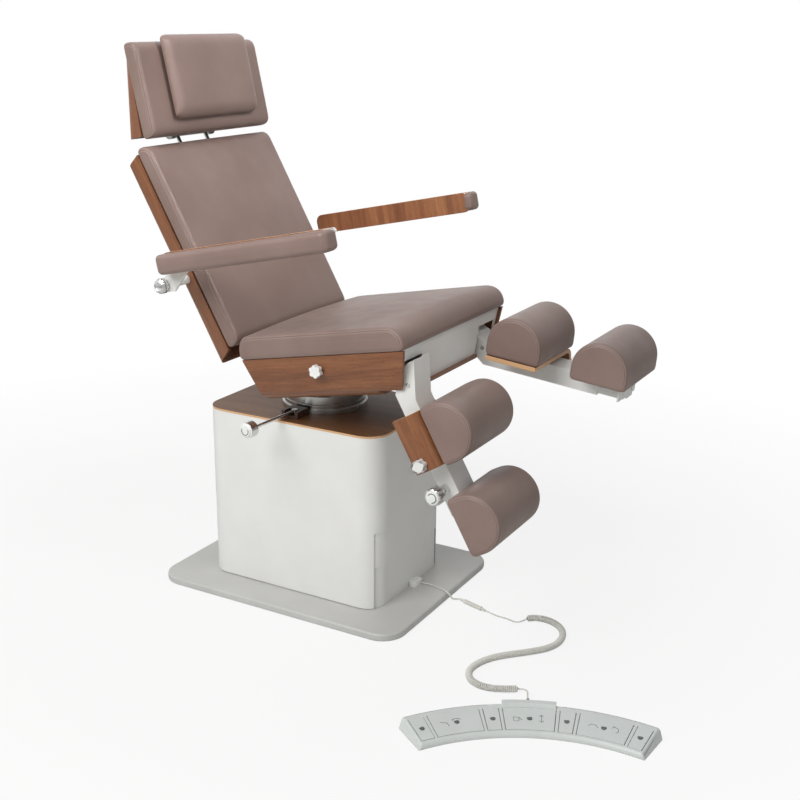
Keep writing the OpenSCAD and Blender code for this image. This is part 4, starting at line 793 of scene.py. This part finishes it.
faceX = Matrix.Rotation(math.radians(90), 4, "Y")
slideKnob = {"outline": [(0, 0), (13, 0), (13, 32), (12, 34), (19, 35), (22, 36.5), (23, 39), (23, 63), (22, 65.5),
                         (20, 67), (19, 67.5), (18.4, 66.2), (0, 66.2)],
             "flutes": 8, "depth": 2.6, "inner": 20, "steps": 80, "place": (245.5, -268, -29)}
slideCap = {"outline": [(0, 66), (17.8, 66), (17.8, 67.6), (17, 68.6), (9, 70.4), (0, 71)], "steps": 48,
            "mark": (11.5, 2.4), "face": 70}
armKnob = {"outline": [(0, 0), (16, 0), (19, 1.2), (20, 3), (20, 14), (19, 16.5), (16, 18.5), (14, 21), (11.5, 22),
                       (9, 20.2), (0, 19.4)], "flutes": 12, "depth": 2.0, "inner": 17, "steps": 96,
           "place": (350.5, 0, 0)}


# The clamp knobs of one side: chrome on the heel rest's tube, with a white cap, and on the armrest
def makeKnobs(side, mirror):
    flipped = side == "right"
    place = mirror @ legSpace[side] @ Matrix.Translation(slideKnob["place"]) @ faceX
    body = turnedMesh(slideKnob["outline"], slideKnob["steps"])
    flute(body, slideKnob)
    knob = finishMesh(body, "slide_knob_body_" + side, place, ["chrome"], "leg_clamp_" + side,
                      ["slide_knob_" + side], flipped=flipped)
    addBevel(knob, 0.5)
    cap = finishMesh(turnedMesh(slideCap["outline"], slideCap["steps"]), "slide_knob_cap_" + side, place,
                     ["whitePlastic"], "leg_clamp_" + side, flipped=flipped)
    addBevel(cap, 0.3)
    radius, width = slideCap["mark"]
    printLines("slide_knob_mark_" + side, [ringLine(radius)], width,
               place @ Matrix.Translation((0, 0, slideCap["face"])), "leg_clamp_" + side, flipped)
    place = mirror @ armSpace @ Matrix.Translation(armKnob["place"]) @ faceX
    head = turnedMesh(armKnob["outline"], armKnob["steps"])
    flute(head, armKnob)
    arm = finishMesh(head, "armrest_knob_head_" + side, place, ["chrome"], "armrest_clamp_" + side,
                     ["armrest_knob_" + side], flipped=flipped)
    addBevel(arm, 0.4)


for side, mirror in sides.items():
    makeKnobs(side, mirror)
print("knobs turned")

# The brake's lever points out to the right; its grip ends in a white cap
lever = {"place": (-146, 2, 523), "turn": -4, "cap": -200.5, "face": -205, "mark": (10.5, 2.2)}
leverSpace = worldSpace @ Matrix.Translation(lever["place"]) @ Matrix.Rotation(math.radians(lever["turn"]), 4, "Z")
dressNode("seat_knob", "seat_clamp", ["whitePlastic"], 0.5)
dressNode("brake_lever", "brake", ["chrome", "whitePlastic"], 1.5,
          lambda place, normal: int(place.x < lever["cap"]), leverSpace)
printLines("brake_grip_mark", [ringLine(lever["mark"][0])], lever["mark"][1],
           leverSpace @ Matrix.Translation((lever["face"], 0, 0)) @ Matrix.Rotation(math.radians(-90), 4, "Y"),
           "brake")
dressNode("pivot_pins", "seat", ["brightSteel"], 0.5)


# Foot control: an off-white housing, a part of a ring, with sloping pads that bear dark dots
control = {"inner": 472, "outer": 570, "middle": 517.4, "half": 30.5, "low": 12, "rise": 20, "lean": -11.53,
           "pitch": 9.25, "dot": 6.2, "dotOver": 1.05, "flare": 9, "flareBelow": 4, "soft": 5.0, "fine": 0.6}
cordRelief = {"from": 571.5, "half": 8, "top": 17, "spared": (8, 560)}      # spared: degrees, and from where
controls = {"rocker_left": -2, "rocker_middle": 0, "rocker_right": 2, "foot_button_1": -3, "foot_button_2": -1,
            "foot_button_3": 1, "foot_button_4": 3}      # each one's place, in pitches from the middle


def dotPick(turn):
    centre = Matrix.Rotation(math.radians(turn), 4, "Z") @ Vector((control["middle"], 0, 0))

    def pick(place, normal):
        reach = place.to_2d().length - control["inner"]
        slope = control["low"] + control["rise"] * reach / (control["outer"] - control["inner"])
        return int((place - centre).to_2d().length < control["dot"] and place.z > slope + control["dotOver"])
    return pick


def reliefPick(place, normal):
    return int(place.to_2d().length > cordRelief["from"] and place.z < cordRelief["top"]
               and abs(place.y) < cordRelief["half"])


housing = dressNode("foot_control", "base", ["controlPlastic", "reliefRubber"], 0, reliefPick,
                    controlSpace)


# Its outer edges get a wide bevel and all others a fine one, and its ends flare out at the floor
def softenControl():
    mesh = housing.data
    back = controlSpace.inverted()
    places = [back @ v.co for v in mesh.vertices]
    turns = [math.degrees(math.atan2(p.y, p.x)) for p in places]
    reaches = [p.to_2d().length for p in places]
    atEnd = [abs(t) > control["half"] - 0.1 for t in turns]
    atSide = [r < control["inner"] + 1 or abs(r - control["outer"]) < 7 for r in reaches]
    weights = mesh.attributes.new("bevel_weight_edge", "FLOAT", "EDGE")
    for edge in mesh.edges:
        a, b = edge.vertices
        outer = atEnd[a] and atEnd[b] or atSide[a] and atSide[b] and max(places[a].z, places[b].z) > 6
        near = abs(turns[a]) < cordRelief["spared"][0] and reaches[a] > cordRelief["spared"][1]
        weights.data[edge.index].value = 1.0 if outer and not near else control["fine"] / control["soft"]
    for vert, place, turn, end in zip(mesh.vertices, places, turns, atEnd):
        if end and place.z < control["flareBelow"]:
            side, angle = math.copysign(1, turn), math.radians(turn)
            vert.co = controlSpace @ (place + Vector((-math.sin(angle), math.cos(angle), 0)) * side * control["flare"])
    bevel = addBevel(housing, control["soft"], 3)
    bevel.limit_method = "WEIGHT"


softenControl()
for name, pitches in controls.items():
    dressNode(name, name.replace("foot_", ""), ["controlPlastic", "darkPrint"], 0.5,
              dotPick(-pitches * control["pitch"]), controlSpace)


# Plain pictures of what each rocker moves: a back, the whole chair and a leg rest
pictures = {
    "left": [[(-44, 7), (-34, 4), (-23, 1)], [(-23, 1), (-20, -9)], arc((0, -4), 15, 15, 40, 125, 14),
             [(-7.6, 4.6), (-8.6, 8.3), (-4.4, 9.4)]],
    "middle": [[(-45, 15), (-38, 3), (-23, 2), (-17, -6)], [(-36, 2), (-36, -9), (-24, -9), (-24, 1)],
               [(27, -11), (27, 12)], [(22, 7), (27, 12), (32, 7)], [(22, -6), (27, -11), (32, -6)]],
    "right": [[(-36, -3), (-29, 4), (-20, 4), (-13, -3)], arc((24, 0), 9, 9, -60, 100, 14),
              [(17, 5), (22.4, 8.9), (19, 13)]],
}
pictureLine, pictureLift = 1.3, 22.2
for name, lines in pictures.items():
    turn = -controls["rocker_" + name] * control["pitch"]
    face = controlSpace @ Matrix.Rotation(math.radians(turn), 4, "Z") \
        @ Matrix.Translation((control["middle"], 0, pictureLift)) \
        @ Matrix.Rotation(math.radians(control["lean"]), 4, "Y") @ Matrix.Rotation(math.radians(-90), 4, "Z")
    printLines("rocker_picture_" + name, lines, pictureLine, face, "rocker_" + name)
print("foot control dressed")


# Finishes for the CAD nodes that still show
slotFinish = {"white_paint": "paint", "plate_paint": "platePaint", "walnut": "seatWalnut", "top_veneer": "topWalnut",
              "upholstery": "leather", "steel": "brightSteel", "knob_silver": "chrome",
              "white_plastic": "whitePlastic", "cord": "cord", "glide": "rubber", "clamp_metal": "brownPaint"}
slotOf = {part["node"]: part["material_slot"] for part in frame["record"]["subparts"]}
for name, node in nodes.items():
    node.data.materials.clear()
    node.data.materials.append(materials[slotFinish[slotOf[name]]])


# Floor, light and background. The camera sees the floor's own light fade to plain white away from the
# chair, and reflections see a studio that is white behind the chair and dim in front of it.
studio = {"floor": 30, "colour": "#dcdcda", "near": 0.84, "fade": (0.9, 2.4), "ambient": 0.37,
          "turnsWhite": (-0.55, 0.25), "reflected": (0.05, 0.95)}
white = (1, 1, 1, 1)
floorBm = bmesh.new()
bmesh.ops.create_grid(floorBm, x_segments=1, y_segments=1, size=studio["floor"] / 2)
floorMesh = bpy.data.meshes.new("studioFloor")
floorBm.to_mesh(floorMesh)
floorBm.free()
floor = bpy.data.objects.new("studioFloor", floorMesh)
scene.collection.objects.link(floor)


def directRays(tree):
    rays = addNode(tree, "LightPath")
    return mathOf(tree, "MAXIMUM", rays.outputs["Is Camera Ray"], rays.outputs["Is Transmission Ray"])


def makeFloor():
    material, tree, shader = newMaterial("whiteStudioFloor", {"Base Color": hexColour(studio["colour"]),
                                                              "Roughness": 0.9, "Specular IOR Level": 0.1})
    place = addNode(tree, "TexCoord")
    reach = addNode(tree, "VectorMath", {"operation": "LENGTH"}, {0: place.outputs["Object"]})
    far = fall(tree, reach.outputs["Value"], *studio["fade"], studio["near"], 1.0)
    glow = addNode(tree, "Emission", {"Color": white, "Strength": 1.0})
    mixed = addNode(tree, "MixShader", None, {0: mathOf(tree, "MULTIPLY", directRays(tree), far),
                                              1: shader.outputs["BSDF"], 2: glow.outputs["Emission"]})
    tree.links.new(mixed.outputs["Shader"], tree.nodes["Material Output"].inputs["Surface"])
    return material


floorMesh.materials.append(makeFloor())

world = bpy.data.worlds.new("studioWorld")
scene.world = world
world.use_nodes = True
worldTree = world.node_tree
ambient = worldTree.nodes["Background"]
ambient.inputs["Color"].default_value = white
ambient.inputs["Strength"].default_value = studio["ambient"]
backdrop = addNode(worldTree, "Background", {"Color": white, "Strength": 1.0})
glossyRays = addNode(worldTree, "LightPath").outputs["Is Glossy Ray"]
facing = addNode(worldTree, "SeparateXYZ", None, {"Vector": addNode(worldTree, "TexCoord").outputs["Generated"]})
behind = fall(worldTree, facing.outputs["Y"], *studio["turnsWhite"], *studio["reflected"])
whiteSeen = mathOf(worldTree, "MAXIMUM", directRays(worldTree), mathOf(worldTree, "MULTIPLY", glossyRays, behind))
worldMix = addNode(worldTree, "MixShader", None,
                   {0: whiteSeen, 1: ambient.outputs["Background"], 2: backdrop.outputs["Background"]})
worldTree.links.new(worldMix.outputs["Shader"], worldTree.nodes["World Output"].inputs["Surface"])

lamps = {"head": {"place": (-0.2, -1.7, 3.0), "size": 0.9, "watts": 4.2, "aim": (0, 0.33, 1.45), "spread": 50},
         "key": {"place": (-3.0, 0.4, 3.3), "size": 2.4, "watts": 116},
         "fill": {"place": (-2.2, -3.4, 1.2), "size": 3.0, "watts": 8},
         "side": {"place": (2.0, -0.4, 2.9), "size": 2.4, "watts": 3}}
for name, lamp in lamps.items():
    light = bpy.data.lights.new(name + "Light", "AREA")
    light.size = lamp["size"]
    light.energy = lamp["watts"]
    holder = bpy.data.objects.new(name + "Light", light)
    scene.collection.objects.link(holder)
    light.spread = math.radians(lamp.get("spread", 180))
    toward = Vector(lamp.get("aim", (0, -0.1, 0.7))) - Vector(lamp["place"])
    holder.matrix_world = Matrix.Translation(lamp["place"]) @ toward.to_track_quat("-Z", "Y").to_matrix().to_4x4()
print("stage lit")
